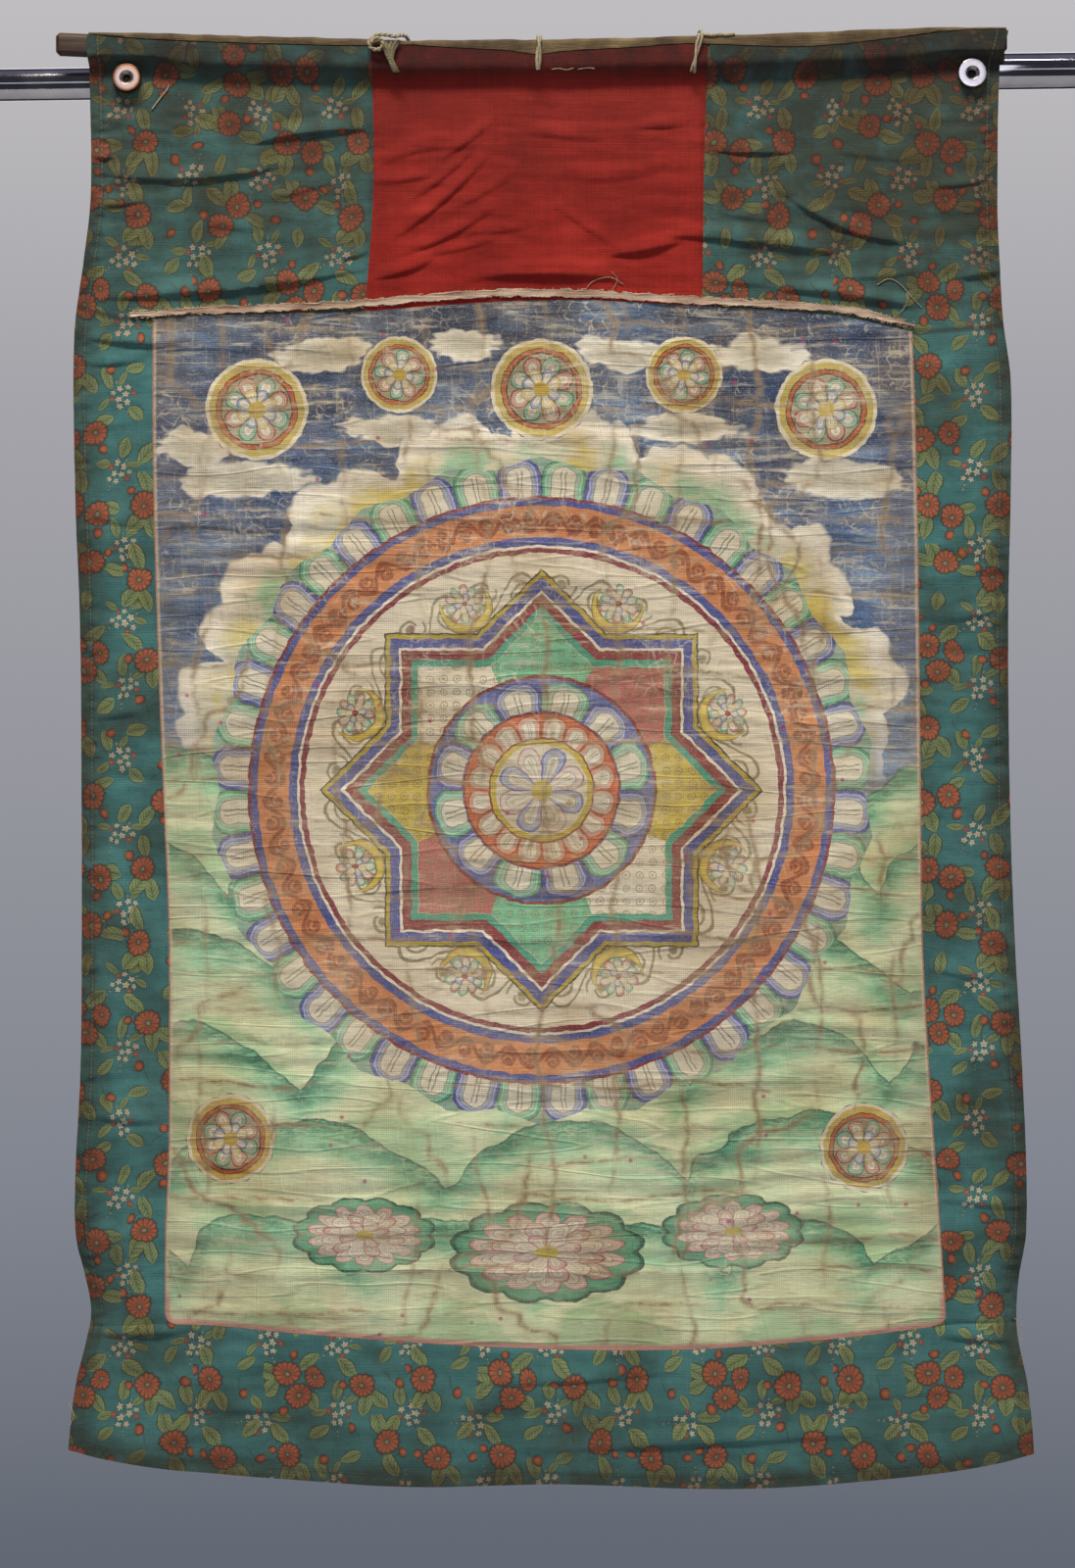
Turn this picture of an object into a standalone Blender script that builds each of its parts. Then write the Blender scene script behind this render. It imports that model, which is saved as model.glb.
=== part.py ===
"""Thangka scroll painting hanging from a rail.

A heading of printed and plain cotton goes over a wooden lath, and a canvas painting hangs below it in a
frame of printed cotton. Cotton ties go over the top, and two round magnets clamp the heading to the rail.

Frame: the origin is the centre of the rail's left end face, +X runs to the right as seen from the front,
+Z is up, and the front of the hanging faces -Y.

The cloth is laid out in millimetres on three scales. Across runs to the right from the hanging's centre
line, drop runs down from the level of the heading's top left corner, and depth comes forward from the
rail's axis.
"""

import math

import bmesh
import bpy
from mathutils import Vector

MM = 0.001
OBJECT_NAME = "thangka_scroll_painting"

# Where the hanging's scales start, from the rail's left end
CENTRE_LINE_X = 418.5
TOP_Z = 31.6

# Rail: a thinner tube that slides in a thicker one, a little out of level
RAIL_LENGTH = 822.0
RAIL_STEP_AT = 430.0
RAIL_THIN_RADIUS = 11.0
RAIL_THICK_RADIUS = 12.5
RAIL_END_CHAMFER = 1.0
RAIL_RISE = math.radians(0.78)

# Cloth
CLOTH = 1.0
CANVAS = 1.2
SEAM_GAP = 0.3
HANG_DEPTH = 14.8

# Lath, and the sleeve round it. Sleeve sizes are those of the cloth's mid surface.
LATH_HEIGHT = 15.7
LATH_THICKNESS = 7.6
LATH_CHAMFER = 2.5
LATH_LEFT_END = -338.8
LATH_RIGHT_END = 315.0
LATH_BOW_PIECES = 14
LATH_MIDDLE_DROP = 6.2
LATH_LEAN = 0.004927
LATH_BOW = 7.554e-5
SLEEVE_BACK_DEPTH = 13.5
SLEEVE_FRONT_DEPTH = 23.5
SLEEVE_CORNER_RADIUS = 3.5
SLEEVE_FACE_ENDS = 16.5
SLEEVE_SEAM = 28.0
FACING_HEM = 23.0
FACING_TO_HEADER = 0.8

PIPING_RADIUS = 0.7
PIPING_BELOW_HEADER = 0.5
STRIP_GAP = 0.5
STRIP_HALF_WIDTH = 3.0

# Round magnets: nickel-plated discs with a countersunk hole
MAGNET_RADIUS = 9.75
MAGNET_THICKNESS = 5.0
MAGNET_EDGE = 0.6
MAGNET_SINK_RADIUS = 4.4
MAGNET_HOLE_RADIUS = 2.0
MAGNET_SINK_DEPTH = 2.6
MAGNETS = (
    # name, across, drop, depth of its back, tilt upwards in degrees
    ("magnet_left", -290.3, 30.6, 16.4, 4.0),
    ("magnet_right", 291.2, 27.0, 15.9, 0.0),
)
MAGNET_PINCH = 7.3
MAGNET_PINCH_REACH = 48.0
MAGNET_PINCH_GRIP = 1.35

TIE_RADIUS = 1.9
TIE_CLEARANCE = 0.5
TIE_FRONT_STOPS = (27.0, 25.0, 23.0, 21.0, 19.0, 17.0, 14.0, 10.0, 6.5)
TIE_FRONT_CORNER = (15, 40, 65, 90)
TIE_BACK_CORNER = (90, 60, 30, 5)
TIE_BACK_END = 8.0
TIES = (
    # name, across at the top, across at the foot of its front
    ("tie_middle", -5.6, -6.2),
    ("tie_right", 103.8, 98.2),
)
STRING_RADIUS = 1.2
TAIL_THICKNESS = 1.4
TAIL_CLEARANCE = 1.1
TAIL_PLEAT = 0.8

# Outer edges of the whole hanging: drop, left edge, right edge
SIDE_EDGES = (
    (0, -317.0, 315.0),
    (22, -316.5, 310.5),
    (110, -315.0, 309.2),
    (155, -320.0, 310.8),
    (197, -326.0, 313.2),
    (237, -327.4, 318.0),
    (319, -325.4, 317.3),
    (400, -322.6, 316.5),
    (540, -322.2, 318.3),
    (624, -322.0, 320.6),
    (713, -322.2, 325.4),
    (786, -325.6, 328.7),
    (826, -325.6, 328.6),
    (852, -320.5, 325.0),
    (879, -316.0, 322.8),
    (898, -318.5, 323.4),
    (929, -325.4, 329.2),
    (978, -329.9, 332.6),
)

# Top of the facing over the lath, and top edge of the heading's front: across, facing top, heading top
TOP_EDGES = (
    (-317, -0.9, 1.5),
    (-279, -0.4, 3.0),
    (-224, 1.8, 5.8),
    (-181, 1.9, 7.0),
    (-125, 4.1, 9.4),
    (-60, 4.5, 10.0),
    (0, 4.2, 11.0),
    (68, 2.7, 8.6),
    (120, 1.2, 7.8),
    (171, -0.6, 8.6),
    (207, -2.0, 6.0),
    (242, -3.4, 2.0),
    (278, -4.2, -1.7),
    (316, -4.4, -1.9),
)

# Seams between the heading's three panels: drop, left seam, right seam
HEADER_SEAMS = (
    (0, -122.4, 109.5),
    (104, -120.8, 106.7),
    (190, -126.6, 105.8),
)

# Foot of the heading, and the middle of the raw strip sewn over it: across, heading foot, strip middle
HEADER_FOOT = (
    (-330, 186.0, 192.0),
    (-288, 195.5, 192.6),
    (-244, 193.2, 190.0),
    (-182, 191.6, 187.4),
    (-125, 190.0, 184.6),
    (-72, 185.9, 180.0),
    (-24, 183.2, 177.6),
    (26, 182.4, 178.0),
    (75, 185.0, 181.0),
    (157, 189.6, 185.6),
    (203, 194.0, 189.4),
    (234, 200.2, 195.6),
    (253, 204.2, 200.0),
    (330, 198.0, 203.0),
)
STRIP_ENDS = (-288.0, 252.0)

# Sides of the painting: drop, left side, right side
PAINTING_SIDES = (
    (190, -272.4, 249.4),
    (295, -272.2, 252.8),
    (408, -269.3, 254.6),
    (526, -265.0, 255.9),
    (614, -261.5, 256.6),
    (698, -261.0, 260.6),
    (771, -261.4, 265.6),
    (820, -263.6, 269.3),
    (890, -264.0, 273.6),
)

# Seam above the bottom panel, and the hem at its foot: across, seam, hem
FOOT_EDGES = (
    (-331, 890.0, 971.5),
    (-306, 889.5, 979.4),
    (-264, 887.6, 987.4),
    (-229, 888.6, 990.6),
    (-182, 893.0, 994.4),
    (-94, 899.8, 999.4),
    (7, 904.6, 997.2),
    (94, 905.0, 1000.6),
    (144, 902.4, 1000.8),
    (209, 896.6, 996.8),
    (273, 888.6, 989.4),
    (310, 887.4, 981.6),
    (334, 887.0, 974.0),
)

# Folds of the cloth. Each is a ridge from one point to another that sags by its bend halfway along, and
# falls away over one width above it and another below it.
FOLDS = (
    # across and drop of the start, across and drop of the end, bend, height, width above, width below
    (-205, 75, -122, 64, -4, 5.0, 13, 9),
    (-310, 95, -182, 90, 7, 4.5, 13, 9),
    (-316, 178, -122, 158, 4, 5.5, 14, 9),
    (-109, 131, -36, 78, -4, 3.5, 11, 8),
    (-104, 146, -40, 116, 2, 4.0, 11, 8),
    (-60, 163, 62, 166, -5, 6.5, 13, 9),
    (38, 151, 92, 142, 1, 3.5, 11, 8),
    (78, 139, 210, 148, -2, 6.5, 13, 9),
    (150, 102, 248, 141, 7, 4.5, 13, 9),
    (112, 172, 256, 184, -4, 5.5, 13, 9),
    (-326, 206, -240, 212, 2, 3.5, 14, 12),
    (-60, 928, 100, 917, 2, 2.5, 18, 14),
    (-10, 972, 238, 961, 1, 2.5, 18, 14),
)

# Slow swells of the hanging: across, drop, half width, half height, how far forward
SWELLS = (
    (-130, 330, 190, 120, 3.0),
    (120, 420, 180, 130, -3.0),
    (-110, 560, 190, 140, -3.5),
    (150, 640, 170, 140, 3.5),
    (-60, 790, 200, 130, 4.0),
    (170, 850, 150, 110, -2.5),
    (0, 960, 190, 90, 5.0),
)

# Curls of the side edges: side, drop, half height, reach inwards, how far forward
EDGE_CURLS = (
    (-1, 120, 90, 55, 3.5),
    (-1, 345, 110, 60, 6.0),
    (-1, 560, 130, 60, -4.0),
    (-1, 760, 100, 60, 4.5),
    (-1, 872, 45, 55, -7.0),
    (-1, 975, 70, 110, 11.0),
    (1, 150, 100, 60, -3.0),
    (1, 310, 90, 60, 5.5),
    (1, 490, 120, 60, -4.5),
    (1, 700, 140, 60, 5.0),
    (1, 868, 45, 55, -7.0),
    (1, 975, 70, 120, 12.0),
)
FOLD_END_TAPER = 0.8
FOLDS_FULL_BELOW_SLEEVE = 34.0
FLAT_AT_STRIP = 6.0
FOLD_FADE = 12.0

# Gathered tape end of the left tie: drop, left edge, right edge
TIE_TAIL = (
    (6.0, -115.5, -101.5),
    (9.0, -115.0, -103.5),
    (14.0, -112.6, -105.8),
    (19.0, -110.6, -106.6),
    (23.0, -108.8, -105.2),
    (27.5, -106.6, -102.6),
)

# The left tie's string, from behind the lath to its free end: across, drop, depth
TIE_LEFT_ROUTE = (
    (-96.0, 14.0, 11.1),
    (-96.4, 6.0, 11.1),
    (-97.2, 2.2, 14.0),
    (-99.0, 1.6, 19.0),
    (-104.0, 0.8, 23.0),
    (-110.0, -0.2, 24.4),
    (-116.0, -0.2, 25.6),
    (-121.0, 2.8, 26.2),
    (-123.8, 7.0, 26.6),
    (-122.0, 10.8, 27.0),
    (-118.4, 11.6, 28.2),
    (-116.4, 9.0, 28.4),
    (-117.0, 5.8, 27.8),
)

COLOURS = {
    # material: sRGB hex, roughness, metallic
    "printed_cotton": ("2E5F63", 0.9, 0.0),
    "red_cotton": ("9A281E", 0.9, 0.0),
    "tan_cotton": ("7D6947", 0.95, 0.0),
    "raw_canvas": ("C6B48F", 0.95, 0.0),
    "painted_canvas": ("9FAE8E", 0.8, 0.0),
    "pink_cord": ("B98A78", 0.9, 0.0),
    "white_cotton": ("D3C8AC", 0.95, 0.0),
    "brown_wood": ("513E2D", 0.6, 0.0),
    "nickel_plate": ("C9C4C4", 0.25, 1.0),
    "chrome_plate": ("C8C8CC", 0.12, 1.0),
}


# ---------------------------------------------------------------- curves and the cloth's surface


def smoothstep(low, high, value):
    share = min(max((value - low) / (high - low), 0.0), 1.0)
    return share * share * (3.0 - 2.0 * share)


def bump(offset):
    """A smooth hump of height 1 at 0 that reaches 0 at -1 and 1."""
    if abs(offset) >= 1.0:
        return 0.0
    return (1.0 - offset * offset) ** 2


def slope_at(table, row, column):
    """Slope of a table's column at a row, from the rows beside it."""
    before = table[max(row - 1, 0)]
    after = table[min(row + 1, len(table) - 1)]
    return (after[column] - before[column]) / (after[0] - before[0])


def read_curve(table, column, at):
    """Value of a table's column on a smooth curve through its rows, where the first column is at."""
    at = min(max(at, table[0][0]), table[-1][0])
    row = 0
    while row < len(table) - 2 and table[row + 1][0] < at:
        row += 1
    start, end = table[row], table[row + 1]
    span = end[0] - start[0]
    t = (at - start[0]) / span
    leave = slope_at(table, row, column) * span
    arrive = slope_at(table, row + 1, column) * span
    return (
        start[column] * (1 + 2 * t) * (1 - t) ** 2
        + leave * t * (1 - t) ** 2
        + end[column] * t * t * (3 - 2 * t)
        - arrive * t * t * (1 - t)
    )


def outer_left(drop):
    return read_curve(SIDE_EDGES, 1, drop)


def outer_right(drop):
    return read_curve(SIDE_EDGES, 2, drop)


def facing_top(across):
    return read_curve(TOP_EDGES, 1, across)


def header_top(across):
    return read_curve(TOP_EDGES, 2, across)


def header_left_seam(drop):
    return read_curve(HEADER_SEAMS, 1, drop)


def header_right_seam(drop):
    return read_curve(HEADER_SEAMS, 2, drop)


def header_foot(across):
    return read_curve(HEADER_FOOT, 1, across)


def strip_middle(across):
    return read_curve(HEADER_FOOT, 2, across)


def painting_left(drop):
    return read_curve(PAINTING_SIDES, 1, drop)


def painting_right(drop):
    return read_curve(PAINTING_SIDES, 2, drop)


def foot_seam(across):
    return read_curve(FOOT_EDGES, 1, across)


def foot_hem(across):
    return read_curve(FOOT_EDGES, 2, across)


def sleeve_seam(across):
    """How far below the facing's top the sleeve has come back in. The magnets pinch it tight."""
    pinch = sum(bump((across - magnet[1]) / MAGNET_PINCH_REACH) for magnet in MAGNETS)
    return SLEEVE_SEAM - MAGNET_PINCH * min(MAGNET_PINCH_GRIP * pinch, 1.0)


def sleeve_depth(across, below_top):
    """Depth of the sleeve's front, by how far it is below the top of the facing."""
    corner = SLEEVE_CORNER_RADIUS
    rounding = corner + CLOTH / 2 - below_top
    if rounding > 0:
        return SLEEVE_FRONT_DEPTH - corner + math.sqrt(max(corner**2 - rounding**2, 0.0))
    under = max(below_top - SLEEVE_FACE_ENDS, 0.0) / (sleeve_seam(across) - SLEEVE_FACE_ENDS)
    back_in = smoothstep(0.0, 1.0, under * under)
    return SLEEVE_FRONT_DEPTH + (HANG_DEPTH - SLEEVE_FRONT_DEPTH) * back_in


def fold_depth(across, drop):
    """How far the folds stand forward at a point of the cloth."""
    total = 0.0
    for from_across, from_drop, to_across, to_drop, bend, height, above, below in FOLDS:
        along = (across - from_across) / (to_across - from_across)
        if not 0.0 < along < 1.0:
            continue
        ridge = from_drop + (to_drop - from_drop) * along + bend * 4 * along * (1 - along)
        lean = math.atan2(to_drop - from_drop, to_across - from_across)
        off = (drop - ridge) * math.cos(lean)
        width = below if off > 0 else above
        total += height * bump(off / width) * math.sin(math.pi * along) ** FOLD_END_TAPER
    return total


def slow_depth(across, drop):
    """How far the slow swells and the curled edges stand forward at a point of the cloth."""
    total = 0.0
    for at_across, at_drop, half_width, half_height, forward in SWELLS:
        total += forward * bump((across - at_across) / half_width) * bump((drop - at_drop) / half_height)
    edge = outer_left(drop) if across < 0 else outer_right(drop)
    for side, at_drop, half_height, reach, forward in EDGE_CURLS:
        if side * across > 0:
            inwards = max(1.0 - abs(edge - across) / reach, 0.0)
            total += forward * inwards**2 * bump((drop - at_drop) / half_height)
    return total


def cloth_depth(across, drop):
    """Depth of the cloth's mid surface."""
    below_top = drop - facing_top(across)
    below_sleeve = smoothstep(SLEEVE_SEAM, SLEEVE_SEAM + FOLDS_FULL_BELOW_SLEEVE, below_top)
    from_strip = abs(drop - strip_middle(across))
    fold_share = smoothstep(FLAT_AT_STRIP, FLAT_AT_STRIP + FOLD_FADE, from_strip)
    moving = fold_share * fold_depth(across, drop) + slow_depth(across, drop)
    return sleeve_depth(across, below_top) + below_sleeve * moving


def place(across, drop, depth):
    return Vector((CENTRE_LINE_X + across, -depth, TOP_Z - drop)) * MM


# ---------------------------------------------------------------- making objects


def clear_scene():
    for scene_object in list(bpy.data.objects):
        bpy.data.objects.remove(scene_object, do_unlink=True)


def make_collection():
    parts = bpy.data.collections.new(OBJECT_NAME)
    bpy.context.scene.collection.children.link(parts)
    return parts


def linear(channel):
    return channel / 12.92 if channel <= 0.04045 else ((channel + 0.055) / 1.055) ** 2.4


def make_material(node_name, finish):
    hex_colour, roughness, metallic = COLOURS[finish]
    material = bpy.data.materials.new(f"{finish}_{node_name}")
    material.use_nodes = True
    shader = material.node_tree.nodes["Principled BSDF"]
    channels = [int(hex_colour[i : i + 2], 16) / 255 for i in (0, 2, 4)]
    shader.inputs["Base Color"].default_value = (*[linear(c) for c in channels], 1.0)
    shader.inputs["Roughness"].default_value = roughness
    shader.inputs["Metallic"].default_value = metallic
    return material


def keep(piece, node_name, finish):
    """Names a new object for its node, gives it its material and moves it to the part's collection."""
    piece.name = node_name
    piece.data.name = node_name
    piece.data.materials.clear()
    piece.data.materials.append(make_material(node_name, finish))
    for collection in list(piece.users_collection):
        collection.objects.unlink(piece)
    bpy.data.collections[OBJECT_NAME].objects.link(piece)
    return piece


def add_mesh(node_name, bm, finish):
    mesh = bpy.data.meshes.new(node_name)
    bm.to_mesh(mesh)
    bm.free()
    return keep(bpy.data.objects.new(node_name, mesh), node_name, finish)


def make_sheet(node_name, columns, rows, spread, thickness, finish):
    """A cloth piece: a grid whose points go where spread(column share, row number) puts them."""
    bm = bmesh.new()
    bmesh.ops.create_grid(bm, x_segments=columns, y_segments=rows, size=1.0)
    for vert in bm.verts:
        column_share = (vert.co.x + 1) / 2
        row = round((1 - vert.co.y) / 2 * rows)
        vert.co = place(*spread(column_share, row))
    piece = add_mesh(node_name, bm, finish)
    piece.data.shade_smooth()
    shell = piece.modifiers.new("thickness", "SOLIDIFY")
    shell.thickness = thickness * MM
    shell.offset = 0.0
    shell.use_even_offset = True


def panel_spread(left, right, top, foot, rows, insets=(0.0, 0.0, 0.0, 0.0)):
    """Fills the space between four edge curves. The insets are for the left, right, top and foot."""
    left_inset, right_inset, top_inset, foot_inset = insets

    def spread(column_share, row):
        row_share = row / rows
        across, drop = 0.0, 0.0
        for _ in range(8):
            top_edge = top(across) + top_inset
            foot_edge = foot(across) - foot_inset
            drop = top_edge + (foot_edge - top_edge) * row_share
            left_edge = left(drop) + left_inset
            right_edge = right(drop) - right_inset
            across = left_edge + (right_edge - left_edge) * column_share
        return across, drop, cloth_depth(across, drop)

    return spread


def make_tube(node_name, points, radius, finish):
    """A round cord or wire along points that are already in place."""
    curve = bpy.data.curves.new(node_name, "CURVE")
    curve.dimensions = "3D"
    curve.bevel_depth = radius * MM
    curve.bevel_resolution = 2
    curve.use_fill_caps = True
    spline = curve.splines.new("POLY")
    spline.points.add(len(points) - 1)
    for spline_point, point in zip(spline.points, points):
        spline_point.co = (*point, 1.0)
    keep(bpy.data.objects.new(node_name, curve), node_name, finish)


def make_turned(node_name, profile, sides, finish, closed=False):
    """A turned piece round its own Z axis. The profile is radius and height, down the outer side."""
    bm = bmesh.new()
    verts = [bm.verts.new((radius * MM, 0.0, height * MM)) for radius, height in profile]
    for start, end in zip(verts, verts[1:]):
        bm.edges.new((start, end))
    if closed:
        bm.edges.new((verts[-1], verts[0]))
    piece = add_mesh(node_name, bm, finish)
    turn = piece.modifiers.new("turned", "SCREW")
    turn.axis = "Z"
    turn.steps = sides
    turn.render_steps = sides
    turn.use_merge_vertices = True
    turn.merge_threshold = 0.00001
    evaluated = piece.evaluated_get(bpy.context.evaluated_depsgraph_get())
    turned = bpy.data.meshes.new_from_object(evaluated)
    piece.modifiers.clear()
    piece.data = turned
    turned.name = node_name
    turned.shade_smooth()
    turned.set_sharp_from_angle(angle=math.radians(35))
    return piece


# ---------------------------------------------------------------- the hanging's pieces

HALF_GAP = SEAM_GAP / 2
PIPED_INSET = PIPING_RADIUS + SEAM_GAP

# Rows of the heading's panels in the sleeve: shares of the way from the top edge to the sleeve's belly,
# then distances below the facing's top
BELLY = 12.0
SLEEVE_TOP_ROWS = (0.0, 0.35, 0.7, 1.0)
SLEEVE_LOWER_ROWS = (15.0, 17.5, 19.0, 20.0, 21.2, 23.2, 25.4, 28.5)
HEADER_FIELD_ROWS = 18
FULL_WIDTH_COLUMNS = 36


def header_spread(left, right, inset_left, inset_right):
    """A heading panel: close rows round the lath, and even rows from there to its foot."""
    sleeve_rows = len(SLEEVE_TOP_ROWS) + len(SLEEVE_LOWER_ROWS)

    def drop_of(across, row):
        top = facing_top(across)
        edge = header_top(across)
        if row < len(SLEEVE_TOP_ROWS):
            return edge + (top + BELLY - edge) * SLEEVE_TOP_ROWS[row]
        if row < sleeve_rows:
            return top + SLEEVE_LOWER_ROWS[row - len(SLEEVE_TOP_ROWS)]
        start = top + SLEEVE_LOWER_ROWS[-1]
        end = header_foot(across) - HALF_GAP
        return start + (end - start) * (row - sleeve_rows + 1) / HEADER_FIELD_ROWS

    def spread(column_share, row):
        across, drop = 0.0, 0.0
        for _ in range(8):
            drop = drop_of(across, row)
            left_edge = left(drop) + inset_left
            right_edge = right(drop) - inset_right
            across = left_edge + (right_edge - left_edge) * column_share
        return across, drop, cloth_depth(across, drop)

    return spread


def make_header():
    rows = len(SLEEVE_TOP_ROWS) + len(SLEEVE_LOWER_ROWS) - 1 + HEADER_FIELD_ROWS
    panels = (
        # name, left edge, right edge, left inset, right inset, columns, finish
        ("header_left", outer_left, header_left_seam, 0.0, HALF_GAP, 14, "printed_cotton"),
        ("header_centre", header_left_seam, header_right_seam, HALF_GAP, HALF_GAP, 16, "red_cotton"),
        ("header_right", header_right_seam, outer_right, HALF_GAP, 0.0, 14, "printed_cotton"),
    )
    for name, left, right, inset_left, inset_right, columns, finish in panels:
        spread = header_spread(left, right, inset_left, inset_right)
        make_sheet(name, columns, rows, spread, CLOTH, finish)


def facing_section(across):
    """The facing's section round the lath: (below the facing's top, depth), from its front edge."""
    middle = SLEEVE_CORNER_RADIUS + CLOTH / 2
    front_edge = header_top(across) - facing_top(across) - FACING_TO_HEADER
    front_corner = SLEEVE_FRONT_DEPTH - SLEEVE_CORNER_RADIUS
    back_corner = SLEEVE_BACK_DEPTH + SLEEVE_CORNER_RADIUS
    section = [(front_edge, sleeve_depth(across, front_edge))]
    start = math.asin(max(min((middle - front_edge) / SLEEVE_CORNER_RADIUS, 1.0), 0.0))
    for share in (1 / 3, 2 / 3, 1.0):
        angle = start + (math.pi / 2 - start) * share
        out = SLEEVE_CORNER_RADIUS * math.cos(angle)
        up = SLEEVE_CORNER_RADIUS * math.sin(angle)
        section.append((middle - up, front_corner + out))
    for degrees in (90, 60, 30, 0):
        angle = math.radians(degrees)
        out = SLEEVE_CORNER_RADIUS * math.cos(angle)
        up = SLEEVE_CORNER_RADIUS * math.sin(angle)
        section.append((middle - up, back_corner - out))
    section.append((FACING_HEM / 2, SLEEVE_BACK_DEPTH))
    section.append((FACING_HEM, SLEEVE_BACK_DEPTH))
    return section


def make_top_facing():
    rows = len(facing_section(0.0)) - 1
    left = outer_left(0.0) + CLOTH
    right = outer_right(0.0) - CLOTH

    def spread(column_share, row):
        across = left + (right - left) * column_share
        below_top, depth = facing_section(across)[row]
        return across, facing_top(across) + below_top, depth

    make_sheet("top_facing", FULL_WIDTH_COLUMNS, rows, spread, CLOTH, "tan_cotton")


def make_seam_strip():
    left, right = STRIP_ENDS

    def spread(column_share, row):
        across = left + (right - left) * column_share
        drop = strip_middle(across) + STRIP_HALF_WIDTH * (row - 1)
        return across, drop, cloth_depth(across, drop) + CLOTH + STRIP_GAP

    make_sheet("seam_strip", FULL_WIDTH_COLUMNS, 2, spread, CLOTH, "raw_canvas")


def make_painting():
    rows, columns = 28, 20
    insets = (PIPED_INSET, PIPED_INSET, HALF_GAP, PIPED_INSET)
    spread = panel_spread(painting_left, painting_right, header_foot, foot_seam, rows, insets)
    make_sheet("painting", columns, rows, spread, CANVAS, "painted_canvas")


def make_side_borders():
    rows, columns = 34, 5
    foot = SEAM_GAP - PIPED_INSET
    left = panel_spread(
        outer_left, painting_left, header_foot, foot_seam, rows, (0.0, PIPED_INSET, HALF_GAP, foot)
    )
    right = panel_spread(
        painting_right, outer_right, header_foot, foot_seam, rows, (PIPED_INSET, 0.0, HALF_GAP, foot)
    )
    make_sheet("side_border_left", columns, rows, left, CLOTH, "printed_cotton")
    make_sheet("side_border_right", columns, rows, right, CLOTH, "printed_cotton")


def make_bottom_panel():
    rows = 6
    insets = (0.0, 0.0, PIPED_INSET, 0.0)
    spread = panel_spread(outer_left, outer_right, foot_seam, foot_hem, rows, insets)
    make_sheet("bottom_panel", FULL_WIDTH_COLUMNS, rows, spread, CLOTH, "printed_cotton")


def make_piping():
    """The cord in the seam: down the painting's left side, along its foot and up its right side."""
    side_points, foot_points = 18, 14
    head, foot = PAINTING_SIDES[0][0], PAINTING_SIDES[-1][0]
    left_top = header_foot(painting_left(head)) + PIPING_BELOW_HEADER
    right_top = header_foot(painting_right(head)) + PIPING_BELOW_HEADER
    left_foot = foot_seam(painting_left(foot))
    right_foot = foot_seam(painting_right(foot))
    left_corner = painting_left(left_foot)
    right_corner = painting_right(right_foot)
    route = []
    for step in range(side_points + 1):
        drop = left_top + (left_foot - left_top) * step / side_points
        route.append((painting_left(drop), drop))
    for step in range(1, foot_points):
        across = left_corner + (right_corner - left_corner) * step / foot_points
        route.append((across, foot_seam(across)))
    for step in range(side_points + 1):
        drop = right_foot + (right_top - right_foot) * step / side_points
        route.append((painting_right(drop), drop))
    points = [place(across, drop, cloth_depth(across, drop)) for across, drop in route]
    make_tube("piping", points, PIPING_RADIUS, "pink_cord")


# ---------------------------------------------------------------- lath, ties, magnets and rail


def lath_top(across):
    """Drop of the lath's top edge: the lath bows down a little between its ends."""
    return LATH_MIDDLE_DROP - LATH_LEAN * across - LATH_BOW * across * across


def make_lath():
    bm = bmesh.new()
    bmesh.ops.create_cube(bm, size=1.0)
    length = LATH_RIGHT_END - LATH_LEFT_END
    lengthways = [edge for edge in bm.edges if abs(edge.verts[0].co.x - edge.verts[1].co.x) > 0.5]
    bmesh.ops.subdivide_edges(bm, edges=lengthways, cuts=LATH_BOW_PIECES - 1, use_grid_fill=True)
    middle_depth = (SLEEVE_FRONT_DEPTH + SLEEVE_BACK_DEPTH) / 2
    for vert in bm.verts:
        across = LATH_LEFT_END + length * (vert.co.x + 0.5)
        drop = lath_top(across) + LATH_HEIGHT * (0.5 - vert.co.z)
        vert.co = place(across, drop, middle_depth - LATH_THICKNESS * vert.co.y)
    piece = add_mesh("lath", bm, "brown_wood")
    chamfer = piece.modifiers.new("chamfer", "BEVEL")
    chamfer.width = LATH_CHAMFER * MM
    chamfer.segments = 1
    chamfer.limit_method = "ANGLE"
    chamfer.angle_limit = math.radians(40)


def tie_route(top_across, foot_across):
    """Over the sleeve, from the seam below its front to halfway down its back."""
    offset = CLOTH / 2 + TIE_CLEARANCE + TIE_RADIUS
    corner = SLEEVE_CORNER_RADIUS + offset
    middle = SLEEVE_CORNER_RADIUS + CLOTH / 2
    route = []
    for below_top in TIE_FRONT_STOPS:
        share = below_top / SLEEVE_SEAM
        across = top_across + (foot_across - top_across) * share
        drop = facing_top(across) + below_top
        slope = (sleeve_depth(across, below_top + 1) - sleeve_depth(across, below_top - 1)) / 2
        depth = sleeve_depth(across, below_top) + offset * math.hypot(1, slope)
        route.append((across, drop, depth))
    for degrees in TIE_FRONT_CORNER:
        angle = math.radians(degrees)
        drop = facing_top(top_across) + middle - corner * math.sin(angle)
        depth = SLEEVE_FRONT_DEPTH - SLEEVE_CORNER_RADIUS + corner * math.cos(angle)
        route.append((top_across, drop, depth))
    for degrees in TIE_BACK_CORNER:
        angle = math.radians(degrees)
        drop = facing_top(top_across) + middle - corner * math.sin(angle)
        depth = SLEEVE_BACK_DEPTH + SLEEVE_CORNER_RADIUS - corner * math.cos(angle)
        route.append((top_across, drop, depth))
    route.append((top_across, facing_top(top_across) + TIE_BACK_END, SLEEVE_BACK_DEPTH - offset))
    return [place(*point) for point in route]


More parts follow.
